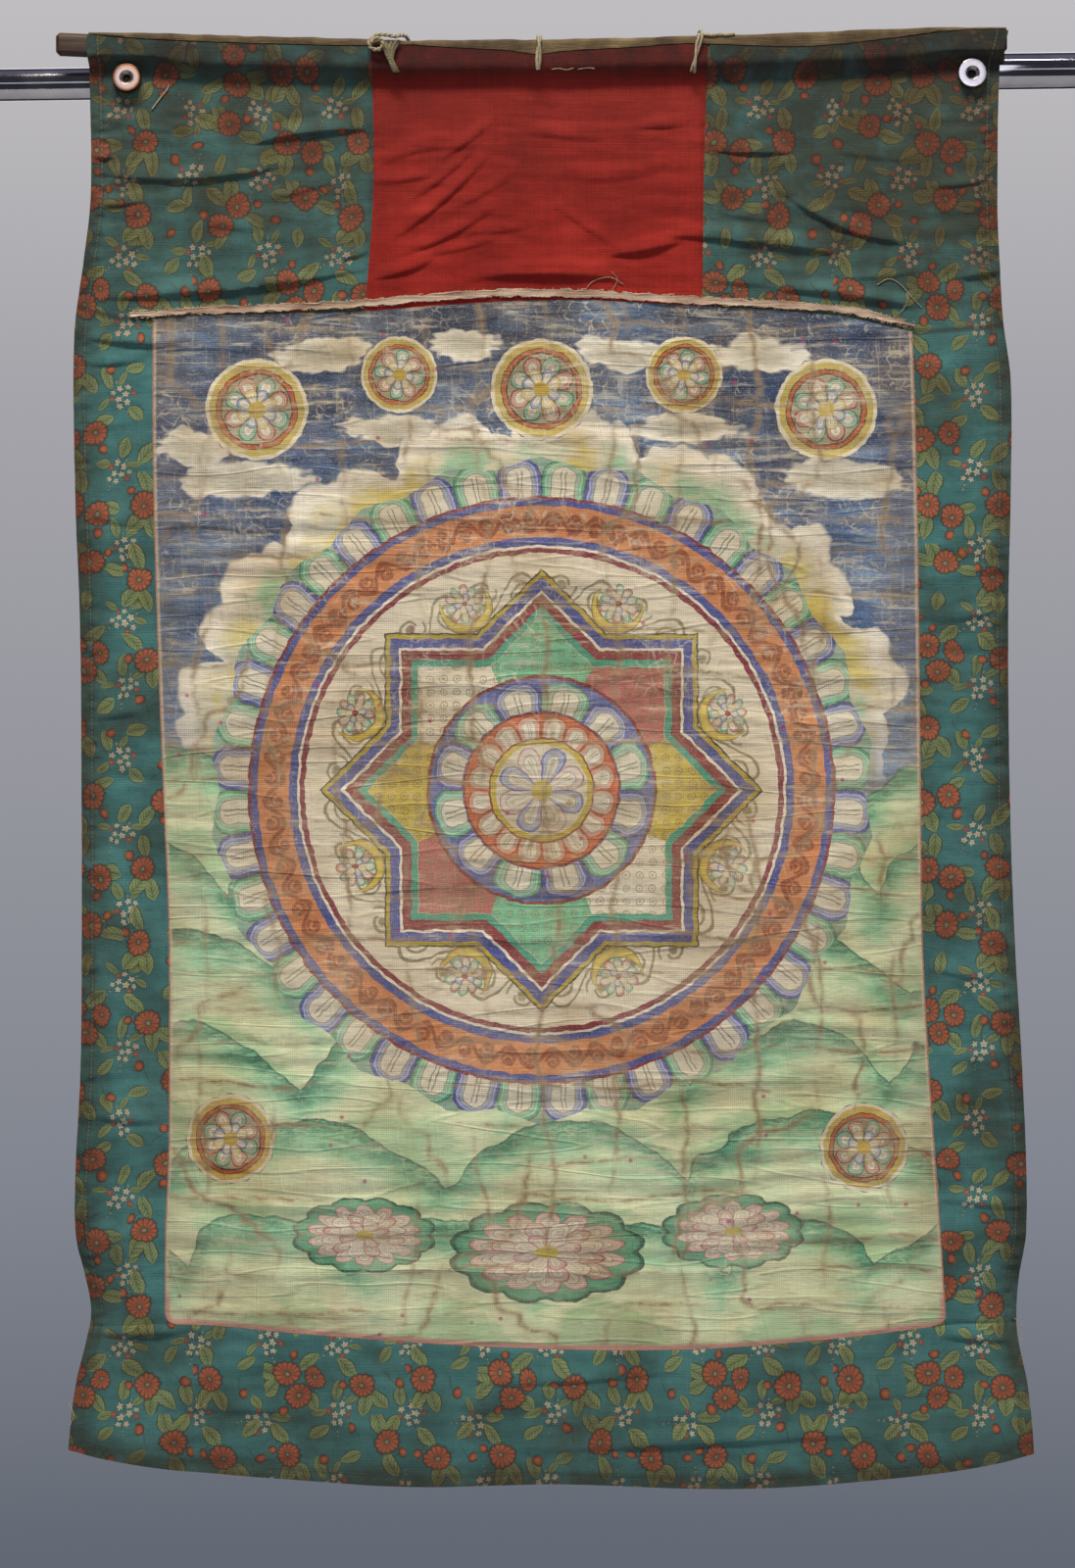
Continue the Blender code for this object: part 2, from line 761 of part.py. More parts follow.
def make_ties():
    for name, top_across, foot_across in TIES:
        make_tube(name, tie_route(top_across, foot_across), TIE_RADIUS, "white_cotton")
    string = [place(*point) for point in TIE_LEFT_ROUTE]
    make_tube("tie_left", string, STRING_RADIUS, "white_cotton")

    rows = 8
    first, last = TIE_TAIL[0][0], TIE_TAIL[-1][0]

    def spread(column_share, row):
        drop = first + (last - first) * row / rows
        left = read_curve(TIE_TAIL, 1, drop)
        right = read_curve(TIE_TAIL, 2, drop)
        across = left + (right - left) * column_share
        below_top = drop - facing_top(across)
        pleat = TAIL_PLEAT * math.sin(column_share * 3 * math.pi) ** 2
        slope = (sleeve_depth(across, below_top + 1) - sleeve_depth(across, below_top - 1)) / 2
        clear = (CLOTH + TAIL_THICKNESS) / 2 + TAIL_CLEARANCE
        return across, drop, sleeve_depth(across, below_top) + clear * math.hypot(1, slope) + pleat

    make_sheet("tie_left_tail", 6, rows, spread, TAIL_THICKNESS, "white_cotton")


def make_magnets():
    back, front = 0.0, MAGNET_THICKNESS
    profile = (
        (MAGNET_HOLE_RADIUS, front - MAGNET_SINK_DEPTH),
        (MAGNET_SINK_RADIUS, front),
        (MAGNET_RADIUS - MAGNET_EDGE, front),
        (MAGNET_RADIUS, front - MAGNET_EDGE),
        (MAGNET_RADIUS, back + MAGNET_EDGE),
        (MAGNET_RADIUS - MAGNET_EDGE, back),
        (MAGNET_HOLE_RADIUS, back),
    )
    for name, across, drop, depth, tilt in MAGNETS:
        magnet = make_turned(name, profile, 28, "nickel_plate", closed=True)
        magnet.location = place(across, drop, depth)
        magnet.rotation_euler = (math.radians(90 - tilt), 0.0, 0.0)


def make_rail():
    thin, thick = RAIL_THIN_RADIUS, RAIL_THICK_RADIUS
    profile = (
        (0.0, RAIL_LENGTH),
        (thick - RAIL_END_CHAMFER, RAIL_LENGTH),
        (thick, RAIL_LENGTH - RAIL_END_CHAMFER),
        (thick, RAIL_STEP_AT),
        (thin, RAIL_STEP_AT),
        (thin, RAIL_END_CHAMFER),
        (thin - RAIL_END_CHAMFER, 0.0),
        (0.0, 0.0),
    )
    rail = make_turned("rail", profile, 32, "chrome_plate")
    rail.rotation_euler = (0.0, math.pi / 2 - RAIL_RISE, 0.0)


def main():
    clear_scene()
    make_collection()
    make_header()
    make_top_facing()
    make_seam_strip()
    make_painting()
    make_side_borders()
    make_bottom_panel()
    make_piping()
    make_lath()
    make_ties()
    make_magnets()
    make_rail()


main()
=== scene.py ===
"""Looks of a thangka scroll painting that hangs from a rail.

The cloth is laid out in millimetres as its maker would measure it. Across runs to the right from the
hanging's centre line, drop runs down from the level of the heading's top left corner, and depth comes
forward from the rail's axis.
"""

import math
import random

import bpy
import numpy as np
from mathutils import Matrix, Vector


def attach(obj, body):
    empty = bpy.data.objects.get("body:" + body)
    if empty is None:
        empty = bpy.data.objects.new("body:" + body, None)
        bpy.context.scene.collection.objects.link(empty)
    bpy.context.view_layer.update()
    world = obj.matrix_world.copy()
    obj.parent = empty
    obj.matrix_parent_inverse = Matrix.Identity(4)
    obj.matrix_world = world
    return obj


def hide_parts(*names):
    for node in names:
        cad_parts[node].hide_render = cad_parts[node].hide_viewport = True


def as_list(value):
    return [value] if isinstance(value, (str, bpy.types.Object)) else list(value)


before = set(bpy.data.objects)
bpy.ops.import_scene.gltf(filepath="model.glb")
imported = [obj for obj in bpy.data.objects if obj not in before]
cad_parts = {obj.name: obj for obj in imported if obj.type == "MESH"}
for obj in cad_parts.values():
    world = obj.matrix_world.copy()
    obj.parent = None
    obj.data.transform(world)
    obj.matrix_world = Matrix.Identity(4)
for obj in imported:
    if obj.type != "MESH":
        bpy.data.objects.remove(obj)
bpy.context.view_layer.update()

MM = 0.001

# ---------------------------------------------------------------- sizes, shared with the solids

CENTRE_LINE_X = 418.5
TOP_Z = 31.6

RAIL_LENGTH = 822.0
RAIL_STEP_AT = 430.0
RAIL_THIN_RADIUS = 11.0
RAIL_THICK_RADIUS = 12.5
RAIL_END_CHAMFER = 1.0
RAIL_RISE = math.radians(0.78)

CLOTH = 1.0
CANVAS = 1.2
HANG_DEPTH = 14.8

LATH_HEIGHT = 15.7
LATH_THICKNESS = 7.6
LATH_CHAMFER = 2.5
LATH_LEFT_END = -338.8
LATH_RIGHT_END = 315.0
LATH_MIDDLE_DROP = 6.2
LATH_LEAN = 0.004927
LATH_BOW = 7.554e-5
SLEEVE_BACK_DEPTH = 13.5
SLEEVE_FRONT_DEPTH = 23.5
SLEEVE_CORNER_RADIUS = 3.5
SLEEVE_FACE_ENDS = 14.0
SLEEVE_SEAM = 28.0
FACING_HEM = 23.0
FACING_TO_HEADER = 0.8

PIPING_RADIUS = 0.7
# the cord lies over the edges of the cloth beside it
PIPED_INSET = 0.5
PIPING_BELOW_HEADER = 0.5
PAINTING_CORNER = 8.0
STRIP_GAP = 0.5
STRIP_HALF_WIDTH = 2.35

MAGNET_RADIUS = 9.75
MAGNET_THICKNESS = 5.0
MAGNET_EDGE = 0.6
MAGNET_SINK_RADIUS = 4.4
MAGNET_HOLE_RADIUS = 2.0
MAGNET_SINK_DEPTH = 2.6
MAGNETS = (
    # name, across, drop, depth of its back, tilt upwards in degrees
    ("magnet_left", -290.3, 30.6, 16.4, 4.0),
    ("magnet_right", 291.2, 27.0, 15.9, 0.0),
)
MAGNET_PINCH = 7.3
MAGNET_PINCH_REACH = 48.0
MAGNET_PINCH_GRIP = 1.35

TIE_RADIUS = 1.9
TIE_CLEARANCE = 0.5
TIE_FRONT_TOP = 6.5
TIE_FRONT_CORNER = (15, 40, 65, 90)
TIE_BACK_CORNER = (90, 60, 30, 5)
TIE_BACK_END = 8.0
TAIL_THICKNESS = 1.4
TAIL_CLEARANCE = 1.1

# Outer edges of the whole hanging: drop, left edge, right edge
SIDE_EDGES = (
    (0, -317.0, 315.0), (22, -316.5, 310.5), (110, -315.0, 309.2), (155, -320.0, 310.8),
    (197, -326.0, 313.2), (237, -327.4, 318.0), (319, -325.4, 317.3), (400, -322.6, 316.5),
    (540, -322.2, 318.3), (624, -322.0, 320.6), (713, -322.2, 325.4), (786, -325.6, 328.7),
    (826, -325.6, 328.6), (852, -320.5, 325.0), (879, -316.0, 322.8), (898, -318.5, 323.4),
    (929, -325.4, 329.2), (978, -329.9, 332.6),
)

# Top of the facing over the lath, and top edge of the heading's front: across, facing top, heading top
TOP_EDGES = (
    (-317, -0.9, 1.5), (-300, -0.7, 3.4), (-260, 0.2, 6.0), (-208, 1.8, 8.0), (-157, 2.8, 9.3),
    (-125, 4.1, 9.8), (-102, 4.8, 9.2), (-60, 4.5, 11.4), (-28, 3.9, 13.2), (-8, 4.6, 15.6),
    (10, 4.0, 13.6), (61, 2.9, 10.6), (94, 2.0, 8.3), (120, 1.2, 9.0), (171, -0.6, 10.4),
    (207, -2.0, 8.0), (242, -3.4, 3.6), (278, -4.2, -0.7), (316, -4.4, -1.4),
)

# Seams between the heading's three panels: drop, left seam, right seam
HEADER_SEAMS = ((0, -122.4, 109.5), (104, -120.8, 106.7), (190, -126.6, 105.8))

# Foot of the heading, and the middle of the raw strip sewn over it: across, heading foot, strip middle
HEADER_FOOT = (
    (-330, 186.0, 192.0), (-288, 195.5, 192.6), (-244, 193.2, 190.0), (-182, 191.6, 187.4),
    (-125, 190.0, 184.6), (-72, 185.9, 180.0), (-24, 183.2, 177.6), (26, 182.4, 178.0),
    (75, 185.0, 181.0), (157, 189.6, 185.6), (203, 194.0, 189.4), (234, 200.2, 195.6),
    (253, 204.2, 200.0), (330, 198.0, 203.0),
)
STRIP_ENDS = (-288.0, 252.0)

# Sides of the painting: drop, left side, right side
PAINTING_SIDES = (
    (190, -272.4, 249.4), (295, -272.2, 252.8), (408, -269.3, 254.6), (526, -265.0, 255.9),
    (614, -261.5, 256.6), (698, -261.0, 260.6), (771, -261.4, 265.6), (820, -263.6, 269.3),
    (890, -264.0, 273.6),
)

# Seam above the bottom panel, and the hem at its foot: across, seam, hem
FOOT_EDGES = (
    (-331, 890.0, 971.5), (-306, 889.5, 979.4), (-264, 887.6, 987.4), (-229, 888.6, 990.6),
    (-182, 893.0, 994.4), (-94, 899.8, 999.4), (7, 904.6, 997.2), (94, 905.0, 1000.6),
    (144, 902.4, 1000.8), (209, 896.6, 996.8), (273, 888.6, 989.4), (310, 887.4, 981.6),
    (334, 887.0, 974.0),
)

# Folds of the cloth. Each is a ridge from one point to another that sags by its bend halfway along, and
# falls away over one width above it and another, sharper one below it.
FOLDS = (
    # across and drop of the start, across and drop of the end, bend, height, width above, width below
    (-206, 75, -124, 65, -4, 3.2, 11, 2.6),
    (-310, 95, -182, 89, 6, 2.8, 11, 2.4),
    (-320, 181, -124, 160, 4, 3.4, 12, 2.6),
    (-114, 86, -50, 76, -5, 1.1, 11, 5.0),
    (-79, 86, -37, 57, 2, 1.1, 8, 3.6),
    (-108, 139, -40, 80, 4, 1.9, 9, 3.4),
    (-104, 150, -38, 118, 4, 1.8, 9, 3.4),
    (-122, 166, -80, 154, 2, 2.2, 9, 3.2),
    (-57, 168, 58, 169, -5, 4.0, 11, 3.6),
    (-62, 134, -10, 130, 2, 1.1, 8, 3.6),
    (-2, 112, 52, 148, 1, 0.9, 7, 3.4),
    (40, 151, 92, 141, 1, 3.0, 10, 3.0),
    (-124, 100, -70, 92, 2, 1.2, 10, 4.0),
    (-20, 64, 40, 70, 1, 1.0, 10, 5.0),
    (10, 98, 84, 88, 3, 1.0, 12, 6.0),
    (58, 62, 96, 60, 1, 1.2, 9, 3.5),
    (-118, 176, 100, 176, -3, 1.8, 8, 4.0),
    (78, 137, 204, 151, -3, 3.6, 12, 2.8),
    (108, 78, 170, 80, 1, 2.2, 9, 2.4),
    (156, 104, 250, 142, 9, 2.8, 10, 2.4),
    (107, 167, 158, 171, 1, 1.4, 10, 4.0),
    (150, 175, 256, 188, -3, 4.4, 10, 2.2),
    (112, 120, 160, 126, 1, 1.0, 8, 4.0),
    (196, 78, 262, 84, 2, 1.0, 9, 4.5),
    (262, 104, 308, 98, 1, 1.3, 8, 2.4),
    (279, 166, 311, 161, 1, 2.2, 7, 2.2),
    (200, 166, 262, 160, 2, 1.4, 8, 3.0),
    (-148, 155, -124, 149, 0, 1.8, 6, 2.2),
    (-96, 112, -52, 78, 3, 1.0, 6, 2.8),
    (-86, 150, -36, 139, 2, 1.1, 6, 2.8),
    (-70, 120, -20, 92, 2, 0.8, 7, 3.4),
    (-58, 160, 70, 160, -3, 1.0, 6, 3.0),
    (-315, 118, -276, 113, 1, 1.3, 8, 2.2),
    (-314, 84, -298, 84, 0, 1.6, 6, 1.8),
    (-300, 60, -232, 66, 1, 0.9, 9, 4.5),
    (-240, 128, -196, 133, 1, 1.0, 8, 4.0),
    (-196, 112, -150, 100, 1, 1.0, 8, 4.0),
    (255, 205, 312, 196, 1, 2.2, 8, 2.8),
    (-326, 206, -240, 212, 2, 2.6, 10, 3.4),
    (-322, 226, -276, 222, 1, 1.6, 8, 3.0),
    (-318, 330, -272, 338, 1, 1.3, 9, 3.6),
    (-320, 470, -268, 462, 1, 1.2, 9, 3.6),
    (-320, 742, -264, 748, 1, 1.5, 9, 3.6),
    (262, 402, 314, 396, 1, 1.3, 9, 3.6),
    (258, 640, 318, 652, 1, 1.4, 9, 3.6),
    (268, 800, 326, 806, 1, 1.4, 9, 3.6),
    (-322, 893, -240, 890, 2, 2.0, 8, 3.2),
    (268, 894, 322, 898, 1, 2.4, 8, 3.0),
    (-60, 928, 100, 917, 2, 1.8, 12, 4.0),
    (-10, 972, 238, 961, 1, 2.0, 12, 4.0),
    (-300, 940, -150, 946, 2, 1.1, 12, 5.0),
    (120, 940, 300, 930, 2, 1.2, 12, 5.0),
)

# Slow swells of the hanging: across, drop, half width, half height, how far forward
SWELLS = (
    (-130, 330, 190, 120, 3.0), (120, 420, 180, 130, -3.0), (-110, 560, 190, 140, -3.5),
    (150, 640, 170, 140, 3.5), (-60, 790, 200, 130, 4.0), (170, 850, 150, 110, -2.5),
    (0, 960, 190, 90, 5.0),
)

# Curls of the side edges: side, drop, half height, reach inwards, how far forward
EDGE_CURLS = (
    (-1, 120, 90, 55, 3.5), (-1, 345, 110, 60, 6.0), (-1, 560, 130, 60, -4.0), (-1, 760, 100, 60, 4.5),
    (-1, 872, 45, 55, -7.0), (-1, 975, 70, 110, 11.0), (1, 150, 100, 60, -3.0), (1, 310, 90, 60, 5.5),
    (1, 490, 120, 60, -4.5), (1, 700, 140, 60, 5.0), (1, 868, 45, 55, -7.0), (1, 975, 70, 120, 12.0),
)
FOLD_END_TAPER = 0.8
FOLD_OVERHANG = 0.42
FOLDS_FULL_BELOW_SLEEVE = 34.0
FLAT_AT_STRIP = 6.0
FOLD_FADE = 9.0
GROOVE_DEPTH = 1.1
GROOVE_REACH = 2.8

# Gathered tape end of the left tie: drop, left edge, right edge
TIE_TAIL = (
    (6.0, -115.5, -101.5), (9.0, -115.0, -103.5), (14.0, -112.6, -105.8), (19.0, -110.6, -106.6),
    (23.0, -108.8, -105.2), (27.5, -106.6, -102.6),
)

# The left tie's string, from behind the lath to its free end: across, drop, depth
TIE_LEFT_ROUTE = (
    (-96.0, 14.0, 11.1), (-96.4, 6.0, 11.1), (-97.2, 2.2, 14.0), (-98.6, 1.4, 19.0),
    (-101.6, 1.9, 23.4), (-105.6, 3.4, 26.0), (-111.0, 2.6, 26.8), (-117.0, 2.4, 27.0),
    (-121.6, 5.0, 27.2), (-123.0, 9.0, 27.4), (-120.4, 12.4, 27.8), (-115.8, 12.6, 28.8),
    (-113.2, 9.4, 30.0), (-115.0, 6.0, 29.8), (-119.2, 5.6, 29.2), (-122.0, 8.4, 29.6),
)

# The right tie's loose end, lying on the facing: across, drop, depth
TIE_RIGHT_TAIL = (
    (103.0, 1.4, 22.8), (107.5, 1.7, 23.7), (112.0, 2.1, 24.0), (117.0, 1.5, 23.7), (122.0, 1.8, 23.9),
    (127.5, 1.0, 23.5),
)


# ---------------------------------------------------------------- curves and the cloth's surface


def smoothstep(low, high, value):
    share = np.clip((value - low) / (high - low), 0.0, 1.0)
    return share * share * (3.0 - 2.0 * share)


def bump(offset):
    """A smooth hump of height 1 at 0 that reaches 0 at -1 and 1."""
    return np.clip(1.0 - offset * offset, 0.0, 1.0) ** 2


def soft_noise(x, y, seed):
    """Smooth random heights from -1 to 1 on a lattice of unit cells."""
    heights = np.random.default_rng(seed).uniform(-1.0, 1.0, (256, 256))
    column, row = np.floor(x).astype(int), np.floor(y).astype(int)
    right, down = x - column, y - row
    right = right * right * (3.0 - 2.0 * right)
    down = down * down * (3.0 - 2.0 * down)
    near = heights[column % 256, row % 256] * (1 - right) + heights[(column + 1) % 256, row % 256] * right
    row = row + 1
    far = heights[column % 256, row % 256] * (1 - right) + heights[(column + 1) % 256, row % 256] * right
    return near * (1 - down) + far * down


def read_curve(table, column, at):
    """Value of a table's column on a smooth curve through its rows, where the first column is at."""
    rows = np.array(table, float)
    knots, values = rows[:, 0], rows[:, column]
    slopes = np.empty(len(knots))
    slopes[1:-1] = (values[2:] - values[:-2]) / (knots[2:] - knots[:-2])
    slopes[0] = (values[1] - values[0]) / (knots[1] - knots[0])
    slopes[-1] = (values[-1] - values[-2]) / (knots[-1] - knots[-2])
    at = np.clip(at, knots[0], knots[-1])
    row = np.clip(np.searchsorted(knots, at) - 1, 0, len(knots) - 2)
    span = knots[row + 1] - knots[row]
    t = (at - knots[row]) / span
    return (
        values[row] * (1 + 2 * t) * (1 - t) ** 2
        + slopes[row] * span * t * (1 - t) ** 2
        + values[row + 1] * t * t * (3 - 2 * t)
        - slopes[row + 1] * span * t * t * (1 - t)
    )


def edges_of(table):
    """Curves along the second and third columns of a table."""
    return [lambda at, column=column: read_curve(table, column, at) for column in (1, 2)]


outer_left, outer_right = edges_of(SIDE_EDGES)
facing_top, header_top = edges_of(TOP_EDGES)
header_left_seam, header_right_seam = edges_of(HEADER_SEAMS)
header_foot, strip_middle = edges_of(HEADER_FOOT)
foot_seam, foot_hem = edges_of(FOOT_EDGES)


def corner_inset(drop, across):
    """How far the painting's side comes in where its lower corner is rounded."""
    into = np.clip(drop - (foot_seam(across) - PAINTING_CORNER), 0.0, PAINTING_CORNER)
    return PAINTING_CORNER - np.sqrt(PAINTING_CORNER**2 - into**2)


def painting_left(drop):
    return read_curve(PAINTING_SIDES, 1, drop) + corner_inset(drop, -264.0)


def painting_right(drop):
    return read_curve(PAINTING_SIDES, 2, drop) - corner_inset(drop, 273.6)


def sleeve_seam(across):
    """How far below the facing's top the sleeve has come back in. The magnets pinch it tight."""
    pinch = sum(bump((across - magnet[1]) / MAGNET_PINCH_REACH) for magnet in MAGNETS)
    return SLEEVE_SEAM - MAGNET_PINCH * np.minimum(MAGNET_PINCH_GRIP * pinch, 1.0)


def sleeve_depth(across, below_top):
    """Depth of the sleeve's front, by how far it is below the top of the facing."""
    corner = SLEEVE_CORNER_RADIUS
    rounding = corner + CLOTH / 2 - below_top
    over = SLEEVE_FRONT_DEPTH - corner + np.sqrt(np.maximum(corner**2 - rounding**2, 0.0))
    under = np.maximum(below_top - SLEEVE_FACE_ENDS, 0.0) / (sleeve_seam(across) - SLEEVE_FACE_ENDS)
    back_in = smoothstep(0.0, 1.0, under * under)
    face = SLEEVE_FRONT_DEPTH + (HANG_DEPTH - SLEEVE_FRONT_DEPTH) * back_in
    return np.where(rounding > 0, over, face)


def groove_depth(across, drop):
    """How far the cloth goes back along the seams inside the heading and above the bottom panel."""
    in_heading = 1 - smoothstep(186.0, 194.0, drop)
    total = np.zeros(np.shape(across))
    for seam in (header_left_seam(drop), header_right_seam(drop)):
        total += bump((across - seam) / GROOVE_REACH) * in_heading
    beside = (across < painting_left(drop)) | (across > painting_right(drop))
    total += bump((drop - foot_seam(across)) / GROOVE_REACH) * np.where(beside, 1.0, 0.5)
    return -GROOVE_DEPTH * total


def fold_depth(across, drop):
    """How far the folds stand forward at a point of the cloth."""
    total = np.zeros(np.shape(across))
    for from_across, from_drop, to_across, to_drop, bend, height, above, below in FOLDS:
        along = np.clip((across - from_across) / (to_across - from_across), 0.0, 1.0)
        ridge = from_drop + (to_drop - from_drop) * along + bend * 4 * along * (1 - along)
        lean = math.atan2(to_drop - from_drop, to_across - from_across)
        off = (drop - ridge) * math.cos(lean)
        width = np.where(off > 0, below, above)
        total += height * bump(off / width) * np.sin(math.pi * along) ** FOLD_END_TAPER
    return total


def slow_depth(across, drop):
    """How far the slow swells and the curled edges stand forward at a point of the cloth."""
    total = np.zeros(np.shape(across))
    for at_across, at_drop, half_width, half_height, forward in SWELLS:
        total += forward * bump((across - at_across) / half_width) * bump((drop - at_drop) / half_height)
    edge = np.where(across < 0, outer_left(drop), outer_right(drop))
    for side, at_drop, half_height, reach, forward in EDGE_CURLS:
        inwards = np.maximum(1.0 - np.abs(edge - across) / reach, 0.0) * (side * across > 0)
        total += forward * inwards**2 * bump((drop - at_drop) / half_height)
    return total


def wrinkle_depth(across, drop):
    """Small wrinkles: level ones all over, roll ridges and upright creases in the painting, and puckers
    at the hems."""
    in_painting = smoothstep(2.0, 14.0, np.minimum(across + 268.0, 262.0 - across))
    in_painting = in_painting * smoothstep(200.0, 216.0, drop) * (1 - smoothstep(878.0, 890.0, drop))
    sway = 7.0 * soft_noise(across / 90.0, drop / 120.0, 3)
    level = 0.55 * soft_noise(across / 42.0, (drop + sway) / 7.5, 11)
    level += 0.28 * soft_noise(across / 15.0, (drop + sway) / 4.6, 12)
    roll = 0.95 * (1 - 2.2 * np.abs(soft_noise(across / 210.0, (drop + sway) / 15.0, 21)))
    roll += 0.35 * (1 - 2 * np.abs(soft_noise(across / 60.0, (drop + sway) / 9.0, 22)))
    lean = across + 9.0 * soft_noise(across / 80.0, drop / 70.0, 31)
    upright = 0.75 * np.clip(1 - 7.0 * np.abs(soft_noise(lean / 46.0, drop / 260.0, 32)), 0.0, 1.0)
    edge = np.minimum(across - outer_left(drop), outer_right(drop) - across)
    hem = np.exp(-(((edge - 7.0) / 5.0) ** 2))
    pucker = 0.8 * hem * soft_noise(edge / 9.0, drop / 3.4, 41)
    return level * (1 - 0.6 * in_painting) + (roll + upright) * in_painting + pucker


def fold_shares(across, drop):
    """How far the cloth has come out of the sleeve, and how far it is clear of the seam strip."""
    below_top = drop - facing_top(across)
    below_sleeve = smoothstep(SLEEVE_SEAM, SLEEVE_SEAM + FOLDS_FULL_BELOW_SLEEVE, below_top)
    from_strip = np.abs(drop - strip_middle(across))
    return below_sleeve, smoothstep(FLAT_AT_STRIP, FLAT_AT_STRIP + FOLD_FADE, from_strip)


def cloth_depth(across, drop):
    """Depth of the cloth's mid surface."""
    below_sleeve, clear = fold_shares(across, drop)
    moving = clear * fold_depth(across, drop) + slow_depth(across, drop)
    moving = moving + (0.35 + 0.65 * clear) * wrinkle_depth(across, drop)
    sleeve = sleeve_depth(across, drop - facing_top(across))
    return sleeve + below_sleeve * moving + groove_depth(across, drop)


def hang(across, drop):
    """Places of points of the cloth: the folds stand forward and hang over a little."""
    below_sleeve, clear = fold_shares(across, drop)
    over = FOLD_OVERHANG * below_sleeve * clear * fold_depth(across, drop)
    return across, drop + over, cloth_depth(across, drop)


def place(across, drop, depth):
    return Vector((CENTRE_LINE_X + across, -depth, TOP_Z - drop)) * MM


# ---------------------------------------------------------------- nodes


def colour(text):
    """Linear colour of an sRGB hex value."""
    channels = [int(text[i : i + 2], 16) / 255 for i in (0, 2, 4)]
    return (*[c / 12.92 if c <= 0.04045 else ((c + 0.055) / 1.055) ** 2.4 for c in channels], 1.0)


def node_adder(nodes, links):
    """The function that adds a node with its settings and links, and gives one of its outputs. A kind
    in capitals is the operation of a Math node, or of a VectorMath node where it starts with V_, and a
    sharp colour ramp changes in steps."""

    def add(kind, inputs=(), out=0, stops=(), sharp=False, **settings):
        if kind.isupper():
            settings["operation"] = kind.removeprefix("V_")
            kind = "VectorMath" if kind.startswith("V_") else "Math"
        node = nodes.new("ShaderNode" + kind)
        for name, value in settings.items():
            setattr(node, name, value)
        for number, (position, value) in enumerate(stops):
            ramp = node.color_ramp
            stop = ramp.elements[number] if number < 2 else ramp.elements.new(position)
            stop.position, stop.color = position, colour(value)
        if sharp:
            node.color_ramp.interpolation = "CONSTANT"
        named = inputs.items() if isinstance(inputs, dict) else enumerate(inputs)
        for key, value in named:
            if isinstance(value, bpy.types.NodeSocket):
                links.new(value, node.inputs[key])
            elif value is not None:
                node.inputs[key].default_value = value
        return node.outputs[out]

    return add


def blend_colours(add, share, under, over, how="MIX"):
    """One colour laid over another by a share."""
    pair = [colour(c) if isinstance(c, str) else c for c in (under, over)]
    return add("Mix", {0: share, 6: pair[0], 7: pair[1]}, 2, data_type="RGBA", blend_type=how)


def lay_over(add, under, over, span):
    """One colour laid over another by how far a value has gone, where span is that value, its low and
    high ends and the shares at them."""
    return blend_colours(add, add("MapRange", span), under, over)


def darken(add, tone, pattern, low, high, dark, light):
    """A colour times a shade that goes from dark to light as a pattern goes from low to high."""
    shade = add("MapRange", [pattern, low, high, dark, light])
    return blend_colours(add, 1.0, tone, add("CombineXYZ", [shade, shade, shade]), "MULTIPLY")


def line_at(add, value, at, near, far, most):
    """How strongly a line shows that is drawn where a value is at."""
    off = add("SUBTRACT", [value, at])
    off = add("ABSOLUTE", [off])
    return add("MapRange", [off, near, far, most, 0.0])


def start_material(name):
    """A new material, the function that adds its nodes, and its shader node."""
    material = bpy.data.materials.new(name)
    material.use_nodes = True
    nodes, links = material.node_tree.nodes, material.node_tree.links
    return material, node_adder(nodes, links), nodes["Principled BSDF"]


def cloth_point(add):
    """The point on the cloth in millimetres: across, and up from the hanging's top."""
    uv = add("UVMap", uv_map="cloth")
    return add("V_MULTIPLY", [uv, (1000.0, 1000.0, 0.0)])


def finish_surface(add, shader, base, height, strength, distance, roughness):
    links = shader.id_data.links
    links.new(base, shader.inputs["Base Color"])
    raised = add("Bump", {"Strength": strength, "Distance": distance, "Height": height})
    links.new(raised, shader.inputs["Normal"])
    if isinstance(roughness, bpy.types.NodeSocket):
        links.new(roughness, shader.inputs["Roughness"])
    else:
        shader.inputs["Roughness"].default_value = roughness


def woven(add, point, pitch, slub):
    """Height of a plain weave with threads a pitch apart, some of them thicker over a slub's length."""
    warp = add("TexWave", [point, 0.314 / pitch, 1.2, 1.0, 0.6], 1, bands_direction="X")
    weft = add("TexWave", [point, 0.314 / pitch, 1.2, 1.0, 0.6], 1, bands_direction="Y")
    threads = add("MAXIMUM", [warp, weft])
    for width, length in ((slub, pitch), (pitch, slub)):
        stretched = add("V_MULTIPLY", [point, (1 / width, 1 / length, 0)])
        slubs = add("TexNoise", [stretched, None, 1.0, 2.0], noise_dimensions="2D")
        threads = add("MULTIPLY_ADD", [slubs, 1.1, threads])
    return threads


def wandered(add, point, scale, detail, reach):
    """The point moved about by flat noise, so that what is drawn there looks done by hand."""
    wander = add("TexNoise", [point, None, scale, detail], 1, noise_dimensions="2D")
    wander = add("V_SUBTRACT", [wander, (0.5, 0.5, 0.5)])
    wander = add("V_MULTIPLY", [wander, (reach, reach, 0.0)])
    return add("V_ADD", [point, wander])


def nearest_motif(add, point, motifs, left_out=()):
    """The point as seen from the nearest of several motifs, in that motif's half length and half width,
    and its distance from that motif's middle. Each share in left_out takes away one of the motifs after
    the first where it is 1."""
    nearest, distance = None, None
    for number, (x, y, turn, half_length, half_width) in enumerate(motifs):
        seen = add("Mapping",
            [point, (x, y, 0), (0, 0, math.radians(turn)), (half_length, half_width, 1)],
            vector_type="TEXTURE",
        )
        away = add("V_LENGTH", [seen], 1)
        if nearest is None:
            nearest, distance = seen, away
            continue
        if left_out:
            away = add("MULTIPLY_ADD", [left_out[number - 1], 99.0, away])
        closer = add("LESS_THAN", [away, distance])
        nearest = add("Mix", {0: closer, 4: nearest, 5: seen}, 1, data_type="VECTOR")
        distance = add("MINIMUM", [away, distance])
    return nearest, distance


